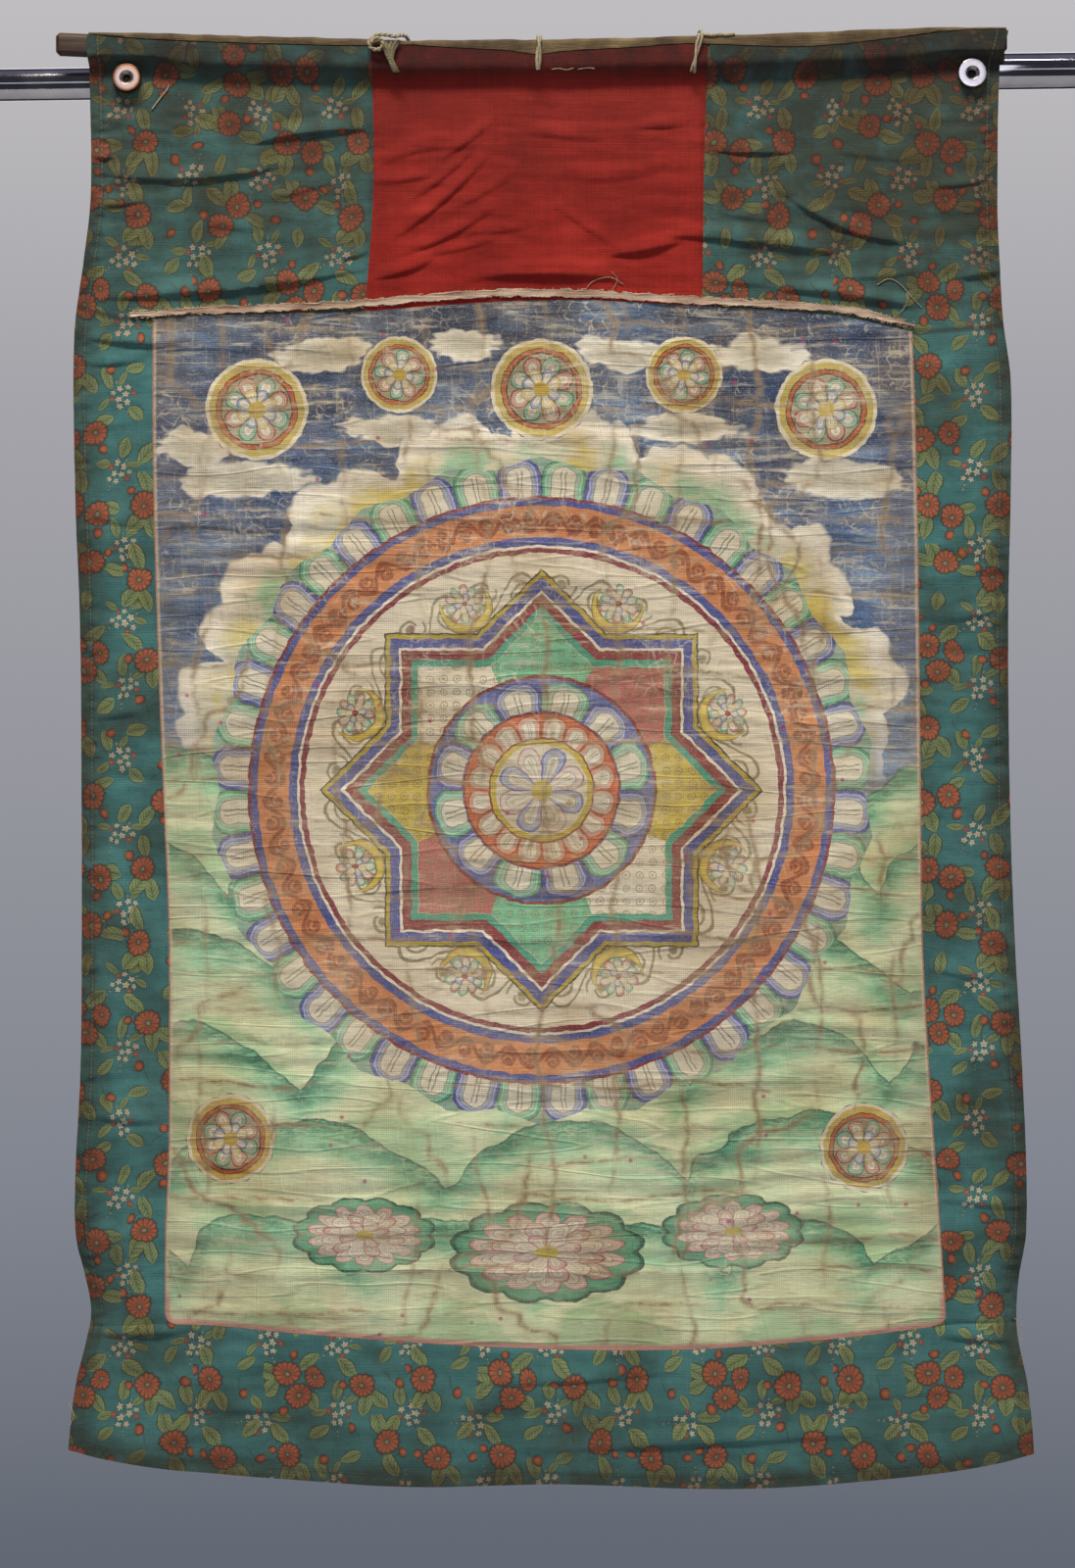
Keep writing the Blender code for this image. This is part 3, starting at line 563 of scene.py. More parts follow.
def turn_share(add, point, count):
    """How far round a point is, counted in petals, from the angle it is seen at."""
    axes = add("SeparateXYZ", [point])
    angle = add("ARCTAN2", [axes.node.outputs[1], axes])
    return add("MULTIPLY", [angle, count / (2 * math.pi)])


# ---------------------------------------------------------------- the printed cotton

# Repeat of the print, and the cells that its sprigs stand in, three across and five down
PRINT_CELL = (49.0, 50.0)
PRINT_REPEAT = (3, 5)
SPRIG_JITTER = 8.0

# Motifs of a daisy sprig and of a spray, from the middle of their cell: x, y, turn, half length, half width
DAISIES = ((-8.0, -5.2, 0, 9.2, 9.2), (9.0, 1.6, 20, 8.9, 8.9), (-2.6, 12.6, 100, 6.6, 8.6))
DAISY_LEAVES = (
    (-14.6, 9.8, 128, 8.6, 5.2), (-8.2, -17.4, 250, 8.4, 5.6), (2.0, -16.8, 300, 8.2, 5.4),
    (13.4, 11.2, 40, 7.2, 4.7),
)
DAISY_BUDS = ((17.4, -8.6, 200, 3.7, 3.7), (-20.4, -1.2, 20, 3.4, 3.4))
SPRIG_STEMS = ((11.4, -3.6, 118, 6.0, 0.3), (-4.0, -11.6, 250, 5.4, 0.3), (-17.0, 2.6, 60, 6.6, 0.3))
SPRAY_FLORETS = (
    (-4.8, 0.6, 10, 2.7, 2.7), (-0.8, 4.8, 40, 2.8, 2.8), (3.6, 1.6, 0, 2.6, 2.6),
    (-0.6, -3.8, 25, 2.5, 2.5), (4.6, 7.2, 50, 2.3, 2.3), (8.2, 3.6, 12, 2.3, 2.3),
    (-6.4, 6.0, 33, 2.2, 2.2),
)
SPRAY_RED_FLORETS = ((-2.8, 9.6, 15, 2.5, 2.5), (4.4, -3.2, 35, 2.4, 2.4))
SPRAY_DOTS = ((10.6, 8.6, 0, 0.7, 0.7), (12.8, 10.6, 0, 0.6, 0.6), (-8.4, -2.0, 0, 0.7, 0.7))
SPRAY_LEAVES = ((-9.6, -9.6, 215, 7.2, 4.4), (9.2, -7.6, 330, 5.4, 2.9), (-11.4, 2.4, 160, 4.6, 2.5))
SPRAY_STEMS = ((-2.0, -5.0, 78, 7.5, 0.34), (8.0, 6.0, 38, 7.0, 0.34), (-6.0, -2.4, 28, 6.0, 0.32))


def sprig_point(add, point, offset, seed):
    """The point within its own sprig's cell, turned and shifted by chance, and that sprig's chances."""
    width, height = PRINT_CELL
    shifted = add("V_ADD", [point, offset])
    cells = add("V_DIVIDE", [shifted, (width, height, 1.0)])
    number = add("V_FLOOR", [cells])
    within = add("V_FRACTION", [cells])
    centred = add("V_SUBTRACT", [within, (0.5, 0.5, 0.0)])
    local = add("V_MULTIPLY", [centred, (width, height, 0.0)])
    repeated = add("V_WRAP", [number, (*PRINT_REPEAT, 1.0), (0, 0, 0)])
    chance_at = add("V_ADD", [repeated, (0.5, 0.5, seed)])
    chances = add("TexWhiteNoise", [chance_at], 1, noise_dimensions="3D")
    shift = add("V_SUBTRACT", [chances, (0.5, 0.5, 0.5)])
    shift = add("V_MULTIPLY", [shift, (SPRIG_JITTER, SPRIG_JITTER, 0.0)])
    local = add("V_SUBTRACT", [local, shift])
    chance = add("SeparateXYZ", [chances])
    turned = add("MULTIPLY", [chance, 4 * math.pi])
    local = add("VectorRotate", {"Vector": local, "Angle": turned}, rotation_type="Z_AXIS")
    return local, chance.node.outputs[1]


def lay_daisies(add, ground, point, chance):
    """One to three daisies by chance, with thirteen petals parted by dark lines round a grey-green eye."""
    left_out = [add("GREATER_THAN", [chance, most]) for most in (0.62, 0.18)]
    seen, away = nearest_motif(add, point, DAISIES, left_out)
    petal = add("PINGPONG", [turn_share(add, seen, 13), 0.5])
    reach = add("MULTIPLY_ADD", [petal, -0.20, 1.0])
    share = add("DIVIDE", [away, reach])
    tone = add("ValToRGB", [share], stops=DAISY_TONES)
    gap = add("MapRange", [petal, 0.33, 0.47, 0.0, 1.0])
    open_part = add("MapRange", [share, 0.30, 0.6, 0.45, 0.8])
    gap = add("MULTIPLY", [gap, open_part])
    tone = blend_colours(add, gap, tone, "48281E")
    ground = lay_over(add, ground, "28302A", [share, 0.98, 1.16, 0.6, 0.0])
    return lay_over(add, ground, tone, [share, 0.94, 1.02, PRINT_STRENGTH, 0.0])


def lay_leaves(add, ground, point, motifs):
    """Leaves drawn in olive lines: an outline, a midrib and slanting veins over a thin olive wash."""
    seen, _ = nearest_motif(add, point, motifs)
    axes = add("SeparateXYZ", [seen])
    side = add("ABSOLUTE", [axes.node.outputs[1]])
    along_squared = add("MULTIPLY", [axes, axes])
    full = add("MULTIPLY_ADD", [along_squared, -1.0, 1.0])
    real = add("GREATER_THAN", [full, 0.0])
    full = add("POWER", [full, 0.72, None], use_clamp=True)
    share = add("DIVIDE", [side, full])
    tone = add("ValToRGB", [share], stops=LEAF_TONES)
    slant = add("MULTIPLY_ADD", [side, 0.8, axes])
    vein = add("PINGPONG", [slant, 0.19])
    tone = lay_over(add, tone, "3A4628", [vein, 0.01, 0.06, 0.8, 0.0])
    inside = add("MapRange", [share, 0.96, 1.10, LEAF_STRENGTH, 0.0])
    inside = add("MULTIPLY", [inside, real])
    return blend_colours(add, inside, ground, tone)


def lay_florets(add, ground, point, motifs, tones):
    """Small florets with five round petals."""
    seen, away = nearest_motif(add, point, motifs)
    petal = add("PINGPONG", [turn_share(add, seen, 5), 0.5])
    reach = add("MULTIPLY_ADD", [petal, -1.25, 1.08])
    share = add("DIVIDE", [away, reach])
    tone = add("ValToRGB", [share], stops=tones)
    return lay_over(add, ground, tone, [share, 0.90, 1.04, PRINT_STRENGTH, 0.0])


def lay_buds(add, ground, point, motifs):
    """Round buds with a dark rim, each in a green cup."""
    seen, away = nearest_motif(add, point, motifs)
    tone = add("ValToRGB", [away], stops=BUD_TONES)
    axes = add("SeparateXYZ", [seen])
    cup = add("LESS_THAN", [axes, -0.55])
    tone = blend_colours(add, cup, tone, "59633C")
    return lay_over(add, ground, tone, [away, 0.94, 1.04, PRINT_STRENGTH, 0.0])


def lay_stems(add, ground, point, motifs):
    """Thin dark stems."""
    away = nearest_motif(add, point, motifs)[1]
    return lay_over(add, ground, "2C3A32", [away, 0.7, 1.1, 0.65, 0.0])


# How fully the motifs cover the ground
PRINT_STRENGTH = 0.9
LEAF_STRENGTH = 0.80
DAISY_TONES = (
    (0.0, "8C9272"), (0.14, "7A8662"), (0.19, "4C3020"), (0.27, "8E5038"), (0.62, "A86040"),
    (0.86, "A65C3C"), (0.95, "482A20"),
)
LEAF_TONES = ((0.0, "46522C"), (0.10, "7C8A50"), (0.50, "87925A"), (0.80, "8E9A5E"), (0.92, "34402A"))
BUD_TONES = ((0.0, "BC6E46"), (0.45, "A8583A"), (0.72, "82402A"), (0.92, "3A2A22"))
CREAM_TONES = ((0.0, "7A6242"), (0.24, "BEB08E"), (0.8, "CCC2A2"), (0.95, "444A3E"))
RED_TONES = ((0.0, "B4A686"), (0.28, "A4503A"), (0.8, "984834"), (0.95, "42281E"))
GROUND_TONES = ((0.30, "35615F"), (0.52, "3F7472"), (0.72, "4B8280"))


def floral_print(add, point):
    """Daisy sprigs and floret sprays, each in its own lattice, on a teal ground."""
    point = wandered(add, point, 0.05, 1.0, 6.0)
    patch = add("TexNoise", [point, None, 0.02, 3.0])
    print_ground = add("ValToRGB", [patch], stops=GROUND_TONES)
    width, height = PRINT_CELL
    spray, _ = sprig_point(add, point, (width * 0.5, height * 0.5, 0.0), 7.3)
    tone = lay_leaves(add, print_ground, spray, SPRAY_LEAVES)
    tone = lay_stems(add, tone, spray, SPRAY_STEMS)
    tone = lay_florets(add, tone, spray, SPRAY_FLORETS, CREAM_TONES)
    tone = lay_florets(add, tone, spray, SPRAY_RED_FLORETS, RED_TONES)
    dot = nearest_motif(add, spray, SPRAY_DOTS)[1]
    tone = lay_over(add, tone, "9C8E6C", [dot, 0.8, 1.1, 0.8, 0.0])
    sprig, chance = sprig_point(add, point, (0.0, 0.0, 0.0), 2.9)
    tone = lay_stems(add, tone, sprig, SPRIG_STEMS)
    tone = lay_leaves(add, tone, sprig, DAISY_LEAVES)
    tone = lay_buds(add, tone, sprig, DAISY_BUDS)
    return lay_daisies(add, tone, sprig, chance)


def soil_and_shade(add, tone, point):
    """Brown soiling along the outer edges and in patches; a darkening over the heading, most in its upper
    part and at its right, partly soiling and partly painted shade; a painted shadow line along the
    heading's foot seam; and soot with painted shade on the sleeve.
    """
    edge = add("Attribute", attribute_name="edge", out=2)
    blotch = add("TexNoise", [point, None, 0.045, 5.0, 0.6])
    uneven = add("MapRange", [blotch, 0.35, 0.65, 0.6, 1.2])
    near_edge = add("MapRange", [edge, 0.0, 24.0, 1.1, 0.15])
    near_edge = add("MULTIPLY", [near_edge, uneven])
    cloud = add("TexNoise", [point, None, 0.014, 5.0, 0.62])
    patch = add("MapRange", [cloud, 0.42, 0.72, 0.05, 0.9])
    axes = add("SeparateXYZ", [point])
    up = axes.node.outputs[1]
    to_right = add("MapRange", [axes, 90.0, 250.0, 0.85, 1.25], interpolation_type="SMOOTHSTEP")
    # Darker over the heading, most in its upper part and at its right: partly soiling, partly painted shade
    # where the steep light grazes the top.
    in_heading = add("MapRange", [up, -235.0, -120.0, 0.1, 1.0])
    heading = add("MULTIPLY", [to_right, in_heading])
    heading = add("MULTIPLY", [heading, uneven])
    low = add("MapRange", [up, -930.0, -860.0, 0.30, 0.0])
    low = add("MULTIPLY", [low, to_right])
    total = add("MAXIMUM", [near_edge, patch])
    total = add("MAXIMUM", [total, low])
    total = add("MAXIMUM", [total, heading, None], use_clamp=True)
    tone = blend_colours(add, total, tone, blend_colours(add, 1.0, tone, "B49488", "MULTIPLY"))
    veil = add("MULTIPLY", [total, 0.30])
    tone = blend_colours(add, veil, tone, "403626")
    # A painted shadow line along the seam at the heading's foot.
    seam = add("Attribute", attribute_name="seam", out=2)
    tone = lay_over(add, tone, "2A2018", [seam, 0.6, 3.0, 0.6, 0.0])
    # How strongly the sleeve is painted darker, with soot and painted shade.
    sleeve_darkening = add("MULTIPLY", [uneven, to_right])
    return sleeve_soot_and_shade(add, tone, up, add("MULTIPLY", [sleeve_darkening, 0.85]))


def sleeve_soot_and_shade(add, tone, up, uneven):
    """Darkens the sleeve down to the line where it lies on the rail: partly soot and hand dirt, partly
    painted shade of the sleeve.
    """
    soot_and_shade = add("MapRange", [up, -34.0, -22.0, 0.0, 0.7], interpolation_type="SMOOTHSTEP")
    soot_and_shade = add("MULTIPLY", [soot_and_shade, uneven, None], use_clamp=True)
    # The sleeve painted darker: partly soot and hand dirt, partly painted shade.
    tone = blend_colours(add, soot_and_shade, tone, blend_colours(add, 1.0, tone, "4C4844", "MULTIPLY"))
    return blend_colours(add, add("MULTIPLY", [soot_and_shade, 0.16]), tone, "4E4640")


def hem_stitches(add, tone, point):
    """A row of thread stitches where the hem is sewn down, and a painted shade line along its fold."""
    edge = add("Attribute", attribute_name="edge", out=2)
    off_line = add("SUBTRACT", [edge, 7.4])
    off_line = add("ABSOLUTE", [off_line])
    on_line = add("MapRange", [off_line, 0.25, 0.5, 1.0, 0.0])
    axes = add("SeparateXYZ", [point])
    run = add("ADD", [axes, axes.node.outputs[1]])
    dash = add("PINGPONG", [run, 1.5])
    dash = add("MapRange", [dash, 0.8, 1.1, 1.0, 0.0])
    stitch = add("MULTIPLY", [on_line, dash])
    # A painted shade line along the hem's fold.
    tone = lay_over(add, tone, "1E2A26", [off_line, 0.3, 2.4, 0.32, 0.0])
    showing = add("MapRange", [axes.node.outputs[1], -890.0, -850.0, 0.12, 0.5])
    share = add("MULTIPLY", [stitch, showing])
    return blend_colours(add, share, tone, "7E7254"), stitch


def printed_cotton():
    """Plain-weave cotton with a rotary print. The eye sees matt colour broken by threads, dark petal
    outlines, and brown soiling that greys the teal, with painted shade in the weave's hollows, on the
    sleeve and in a line along the heading's foot seam."""
    material, add, shader = start_material("printed_plain_weave_cotton")
    point = cloth_point(add)
    tone = floral_print(add, point)
    # real threads are 0.35 mm apart, drawn at 1.1 mm so that they show
    threads = woven(add, point, 1.1, 26.0)
    # The weave's hollows are painted darker than the threads' tops: painted shade of the weave.
    tone = darken(add, tone, threads, 0.7, 2.2, 0.86, 1.14)
    tone = soil_and_shade(add, tone, point)
    tone, stitch = hem_stitches(add, tone, point)
    height = add("MULTIPLY_ADD", [stitch, 1.6, threads])
    rumple = stretched_noise(add, point, (0.09, 0.09), 3.0)
    height = add("MULTIPLY_ADD", [rumple, 6.0, height])
    finish_surface(add, shader, tone, height, 0.35, 0.0005, 0.88)
    shader.inputs["Sheen Weight"].default_value = 0.12
    shader.inputs["Sheen Roughness"].default_value = 0.6
    shader.inputs["Specular IOR Level"].default_value = 0.2
    return material


def print_reverse():
    """The print's wrong side. The eye sees a paler, greyer teal with the motifs showing through weakly."""
    material, add, shader = start_material("printed_cotton_wrong_side")
    point = cloth_point(add)
    tone = floral_print(add, point)
    tone = blend_colours(add, 0.62, tone, "6C7F7A")
    threads = woven(add, point, 1.1, 26.0)
    # The weave's hollows are painted darker than the threads' tops: painted shade of the weave.
    tone = darken(add, tone, threads, 0.7, 2.2, 0.82, 1.15)
    tone = soil_and_shade(add, tone, point)
    finish_surface(add, shader, tone, threads, 0.35, 0.0005, 0.92)
    shader.inputs["Sheen Weight"].default_value = 0.15
    shader.inputs["Specular IOR Level"].default_value = 0.2
    return material


def red_cotton():
    """Piece-dyed plain-weave cotton. The eye sees deep red with level slubs and rubbed paler patches,
    darker towards the top: partly soiling and soot, partly painted shade of the heading's top and sleeve."""
    material, add, shader = start_material("dyed_plain_weave_cotton")
    point = cloth_point(add)
    cloud = add("TexNoise", [point, None, 0.014, 5.0, 0.6])
    tone = add("ValToRGB", [cloud], stops=((0.30, "741812"), (0.5, "8A1F17"), (0.70, "9C2A20")))
    up = add("SeparateXYZ", [point], 1)
    # Darker towards the top of the heading: partly soiling, partly painted shade where the steep light
    # grazes the top.
    tone = lay_over(add, tone, "5A2620", [up, -150.0, -40.0, 0.0, 0.34])
    for stretch in ((0.02, 0.7, 0.0), (0.7, 0.02, 0.0)):
        streaks_at = add("V_MULTIPLY", [point, stretch])
        streaks = add("TexNoise", [streaks_at, None, 1.0, 3.0])
        tone = darken(add, tone, streaks, 0.35, 0.7, 0.92, 1.07)
    blotch = add("TexNoise", [point, None, 0.05, 5.0, 0.6])
    # The sleeve painted darker: partly soot and hand dirt, partly painted shade.
    tone = sleeve_soot_and_shade(add, tone, up, add("MapRange", [blotch, 0.35, 0.65, 0.85, 1.25]))
    # real threads are 0.4 mm apart, drawn at 1.2 mm so that they show
    threads = woven(add, point, 1.2, 40.0)
    # The weave's hollows are painted darker than the threads' tops: painted shade of the weave.
    tone = darken(add, tone, threads, 0.7, 2.2, 0.84, 1.14)
    rumple = stretched_noise(add, point, (0.08, 0.08), 3.0)
    height = add("MULTIPLY_ADD", [rumple, 6.0, threads])
    finish_surface(add, shader, tone, height, 0.35, 0.0005, 0.86)
    shader.inputs["Sheen Weight"].default_value = 0.2
    shader.inputs["Sheen Tint"].default_value = colour("D08070")
    shader.inputs["Specular IOR Level"].default_value = 0.2
    return material


def plain_cloth(name, tones, pitch, roughness):
    """Undyed woven cloth. The eye sees uneven, soiled fibre colour and coarse threads."""
    material, add, shader = start_material(name)
    point = cloth_point(add)
    cloud = add("TexNoise", [point, None, 0.03, 6.0, 0.65])
    tone = add("ValToRGB", [cloud], stops=tones)
    fibre_at = add("V_MULTIPLY", [point, (0.06, 1.1, 0.0)])
    fibres = add("TexNoise", [fibre_at, None, 1.0, 5.0])
    tone = darken(add, tone, fibres, 0.3, 0.7, 0.72, 1.2)
    threads = woven(add, point, pitch, 18.0)
    height = add("MULTIPLY_ADD", [fibres, 2.0, threads])
    finish_surface(add, shader, tone, height, 0.5, 0.0006, roughness)
    shader.inputs["Sheen Weight"].default_value = 0.15
    shader.inputs["Specular IOR Level"].default_value = 0.2
    return material


# ---------------------------------------------------------------- the painted canvas

# A plain ornamental design of its own: a lotus medallion with an eight-pointed star, small rosettes in
# two rows, cloud banks, hills and a lotus pond. Millimetres from the medallion's middle, up is plus.
MEDALLION_AT = (-5.0, -520.0)
MEDALLION_RADIUS = 232.0

# Bands of the medallion from its middle outwards, as shares of its radius
MEDALLION_BANDS = (
    (0.0, "CCC2A6"), (0.135, "B9A338"), (0.150, "6E332C"), (0.156, "BC5E34"), (0.225, "7A3430"),
    (0.232, "5C6698"), (0.330, "7A3430"), (0.342, "D2C8AE"), (0.700, "7C2C3C"), (0.716, "D8D0BA"),
    (0.724, "48508A"), (0.748, "C07C4E"), (0.842, "48508A"), (0.862, "7C2C3C"), (0.874, "7FA08C"),
)

# Petal rows: inner radius, outer radius, petals, their two colours
PETAL_ROWS = (
    (0.872, 0.985, 44, "4FA47A", "4C58A0"), (0.236, 0.326, 12, "5FA884", "4A549C"),
    (0.158, 0.222, 16, "BC5830", "B0683A"), (0.030, 0.132, 8, "CDAFA0", "7880B0"),
)

# Frame of the eight-pointed star, from its outer edge inwards, as shares of the medallion's radius
STAR_BANDS = (
    (0.0, "B4A98A"), (0.365, "44947A"), (0.385, "803A3C"), (0.412, "D8D0BA"), (0.420, "48508A"),
    (0.446, "A8942E"), (0.460, "3E382E"), (0.466, "D2C8AE"),
)
STAR_FIELDS = ("BCA644", "A8665C", "6FB088", "D6CEB6")

# Small rosettes on the sky and on the hills: x, y, turn, radius, radius
ROSETTES = (
    (-196, 262, 0, 36, 36), (-98, 286, 12, 27, 27), (0, 276, 0, 36, 36), (98, 286, 12, 27, 27),
    (196, 262, 0, 36, 36), (-214, -240, 0, 31, 31), (222, -246, 0, 31, 31),
)

# Lotus flowers of the pond, seen aslant, and small clouds in the sky: x, y, turn, half length, half width
LOTUSES = ((-122, -306, 0, 38, 20), (4, -318, 0, 52, 27), (132, -304, 0, 38, 20))
CLOUDS = (
    (-150, 300, 6, 34, 12), (-240, 236, -4, 24, 13), (-52, 306, 0, 26, 10), (56, 300, -8, 30, 11),
    (150, 300, -4, 34, 12), (-206, 214, 4, 44, 12), (206, 214, -4, 46, 13), (-98, 248, 0, 36, 10),
    (98, 248, 0, 36, 10),
)

# Hills, from the farthest to the nearest: level of the ridges, their height, their width, shift
HILLS = (
    (-4, 40, 190, 30), (-66, 46, 150, 92), (-132, 50, 210, 10), (-196, 44, 140, 60),
    (-262, 46, 180, 120), (-326, 34, 120, 20),
)

# Scrolls of vine round the medallion: middle and half width as shares of its radius, waves, line, colour
SCROLLS = ((0.795, 0.043, 38, 0.17, "7E3A24"), (0.595, 0.085, 16, 0.05, "6C6440"))


def lay_petal_row(add, ground, radius, turn, row):
    """A ring of round-tipped petals, in two colours by turns, each with a cream heart and a dark rim."""
    inner, outer, count, first, second = row
    counted = add("MULTIPLY", [turn, count / (2 * math.pi)])
    number = add("FLOOR", [counted])
    side = add("SUBTRACT", [counted, number])
    side = add("MULTIPLY_ADD", [side, 2.0, -1.0])
    along = add("MapRange", [radius, inner, outer, 0.0, 1.0], clamp=False)
    tip = add("SUBTRACT", [along, 0.5])
    tip = add("MAXIMUM", [tip, 0.0])
    tip = add("MULTIPLY", [tip, 2.0])
    share = add("V_LENGTH", [add("CombineXYZ", [side, tip])], 1)
    other = add("MODULO", [number, 2.0])
    other = add("ABSOLUTE", [other])
    tone = blend_colours(add, other, first, second)
    tone = lay_over(add, tone, "C4CBB8", [share, 0.56, 0.86, 0.65, 0.0])
    tone = lay_over(add, tone, "D2CAB2", [share, 0.52, 0.56, 0.9, 0.0])
    for at, line_tone, strength in ((0.55, "5C5648", 0.6), (0.80, "DCDCD4", 0.5)):
        line = line_at(add, share, at, 0.012, 0.045, strength)
        tone = blend_colours(add, line, tone, line_tone)
    tone = lay_over(add, tone, "4C4A4A", [share, 0.93, 0.97, 0.0, 0.8])
    off_midrib = add("ABSOLUTE", [side])
    stroke = line_at(add, off_midrib, 0.10, 0.015, 0.04, 0.7)
    heart_only = add("MapRange", [share, 0.30, 0.40, 1.0, 0.0])
    stroke = add("MULTIPLY", [stroke, heart_only])
    tone = blend_colours(add, stroke, tone, "453E34")
    within = add("LESS_THAN", [share, 1.0])
    above_foot = add("GREATER_THAN", [along, 0.0])
    within = add("MULTIPLY", [within, above_foot])
    return blend_colours(add, within, ground, tone)


def lay_flower(add, tone, radius, turn, rows, eye, eye_tone):
    """Rings of petals, the outermost first, round an eye."""
    for row in rows:
        tone = lay_petal_row(add, tone, radius, turn, row)
    return blend_colours(add, add("LESS_THAN", [radius, eye]), tone, eye_tone)


def lay_scroll(add, ground, radius, turn, row):
    """A scrolling vine round a ring: a wave with a curled tendril and a bud in each of its bends."""
    middle, half_width, waves, line, tone = row
    off = add("MapRange", [radius, middle - half_width, middle + half_width, -1.0, 1.0], clamp=False)
    phase = add("MULTIPLY", [turn, waves])
    wave = add("SINE", [phase])
    off_wave = add("MULTIPLY_ADD", [wave, -0.6, off])
    off_wave = add("ABSOLUTE", [off_wave])
    vine = add("MapRange", [off_wave, line, line * 1.6, 1.0, 0.0])
    halves = add("MULTIPLY", [phase, 1 / math.pi])
    number = add("FLOOR", [halves])
    side = add("SUBTRACT", [halves, number])
    side = add("SUBTRACT", [side, 0.5])
    side = add("MULTIPLY", [side, math.pi * middle / waves / half_width])
    odd = add("PINGPONG", [number, 1.0])
    crest = add("MULTIPLY_ADD", [odd, -2.0, 1.0])
    inwards = add("MULTIPLY", [off, crest])
    inwards = add("ADD", [inwards, 0.22])
    curl_at = add("CombineXYZ", [side, inwards])
    away = add("V_LENGTH", [curl_at], 1)
    spiral = add("MULTIPLY_ADD", [turn_share(add, curl_at, 1.0), -0.30, away])
    curl = line_at(add, spiral, 0.38, line * 0.6, line * 1.3, 1.0)
    curl_end = add("MapRange", [away, 0.50, 0.60, 1.0, 0.0])
    curl = add("MULTIPLY", [curl, curl_end])
    bud = add("MapRange", [away, 0.13, 0.19, 1.0, 0.0])
    drawn = add("MAXIMUM", [vine, curl])
    drawn = add("MAXIMUM", [drawn, bud])
    inside = add("ABSOLUTE", [off])
    inside = add("MapRange", [inside, 0.94, 1.0, 0.8, 0.0])
    return blend_colours(add, add("MULTIPLY", [drawn, inside]), ground, tone)


def lay_dots(add, ground, point, mask, tone, pitch):
    """A lattice of small rings with a dot in each."""
    cells = add("V_MULTIPLY", [point, (1 / pitch,) * 3])
    within = add("V_FRACTION", [cells])
    within = add("V_SUBTRACT", [within, (0.5, 0.5, 0.0)])
    axes = add("SeparateXYZ", [within])
    flat = add("CombineXYZ", [axes, axes.node.outputs[1]])
    away = add("V_LENGTH", [flat], 1)
    ring = line_at(add, away, 0.26, 0.02, 0.07, 1.0)
    dot = add("MapRange", [away, 0.07, 0.12, 1.0, 0.0])
    drawn = add("MAXIMUM", [ring, dot])
    drawn = add("MULTIPLY", [drawn, mask])
    return blend_colours(add, add("MULTIPLY", [drawn, 0.6]), ground, tone)


def lay_medallion(add, ground, point):
    """The lotus medallion, from its bands inwards to its middle flower."""
    scaled = add("V_MULTIPLY", [point, (1 / MEDALLION_RADIUS,) * 3])
    radius = add("V_LENGTH", [scaled], 1)
    turn = turn_share(add, scaled, 2 * math.pi)
    tone = add("ValToRGB", [radius], stops=MEDALLION_BANDS, sharp=True)
    for row in SCROLLS:
        tone = lay_scroll(add, tone, radius, turn, row)
    tone = lay_notch_flowers(add, tone, scaled, turn)
    star, field = star_shape(add, scaled, turn)
    in_star = add("LESS_THAN", [star, 0.466])
    outside_ring = add("GREATER_THAN", [radius, 0.342])
    in_star = add("MULTIPLY", [in_star, outside_ring])
    frame_tone = add("ValToRGB", [star], stops=STAR_BANDS, sharp=True)
    inside_frame = add("LESS_THAN", [star, 0.365])
    star_tone = blend_colours(add, inside_frame, frame_tone, field)
    star_tone = lay_dots(add, star_tone, point, inside_frame, "6E6A48", 9.0)
    tone = blend_colours(add, in_star, tone, star_tone)
    tone = lay_flower(add, tone, radius, turn, PETAL_ROWS, 0.03, "B9A84A")
    counted = add("MULTIPLY", [turn, 44 / (4 * math.pi)])
    petal = add("PINGPONG", [counted, 0.5])
    edge = add("MapRange", [petal, 0.0, 0.5, 0.955, 0.99])
    within = add("LESS_THAN", [radius, edge])
    return blend_colours(add, within, ground, tone)


def lay_notch_flowers(add, ground, scaled, turn):
    """A round flower held by a yellow crescent in each of the star's eight notches."""
    number = add("MULTIPLY", [turn, 4 / math.pi])
    number = add("FLOOR", [number])
    back = add("MULTIPLY_ADD", [number, -math.pi / 4, -math.pi / 8])
    local = add("VectorRotate", {"Vector": scaled, "Angle": back}, rotation_type="Z_AXIS")
    seen, radius = nearest_motif(add, local, NOTCH_FLOWER)
    axes = add("SeparateXYZ", [seen])
    width = add("MapRange", [axes, -1.3, 0.55, 0.30, 0.002])
    off = add("SUBTRACT", [radius, 1.12])
    off = add("ABSOLUTE", [off])
    crescent = add("DIVIDE", [off, width])
    crescent_tone = add("ValToRGB", [crescent], stops=((0.3, "C4AC3A"), (0.7, "A88E2A"), (0.86, "4E4426")))
    tone = lay_over(add, ground, crescent_tone, [crescent, 0.96, 1.04, 0.9, 0.0])
    around = turn_share(add, seen, 2 * math.pi)
    rows = ((0.34, 0.92, 10, "3C9068", "A84A34"), (0.12, 0.50, 6, "C8A838", "5862A0"))
    return lay_flower(add, tone, radius, around, rows, 0.14, "8A3E34")


# From the medallion's middle, in shares of its radius: x, y, turn, half length, half width
NOTCH_FLOWER = ((0.598, 0.0, 0, 0.064, 0.064),)


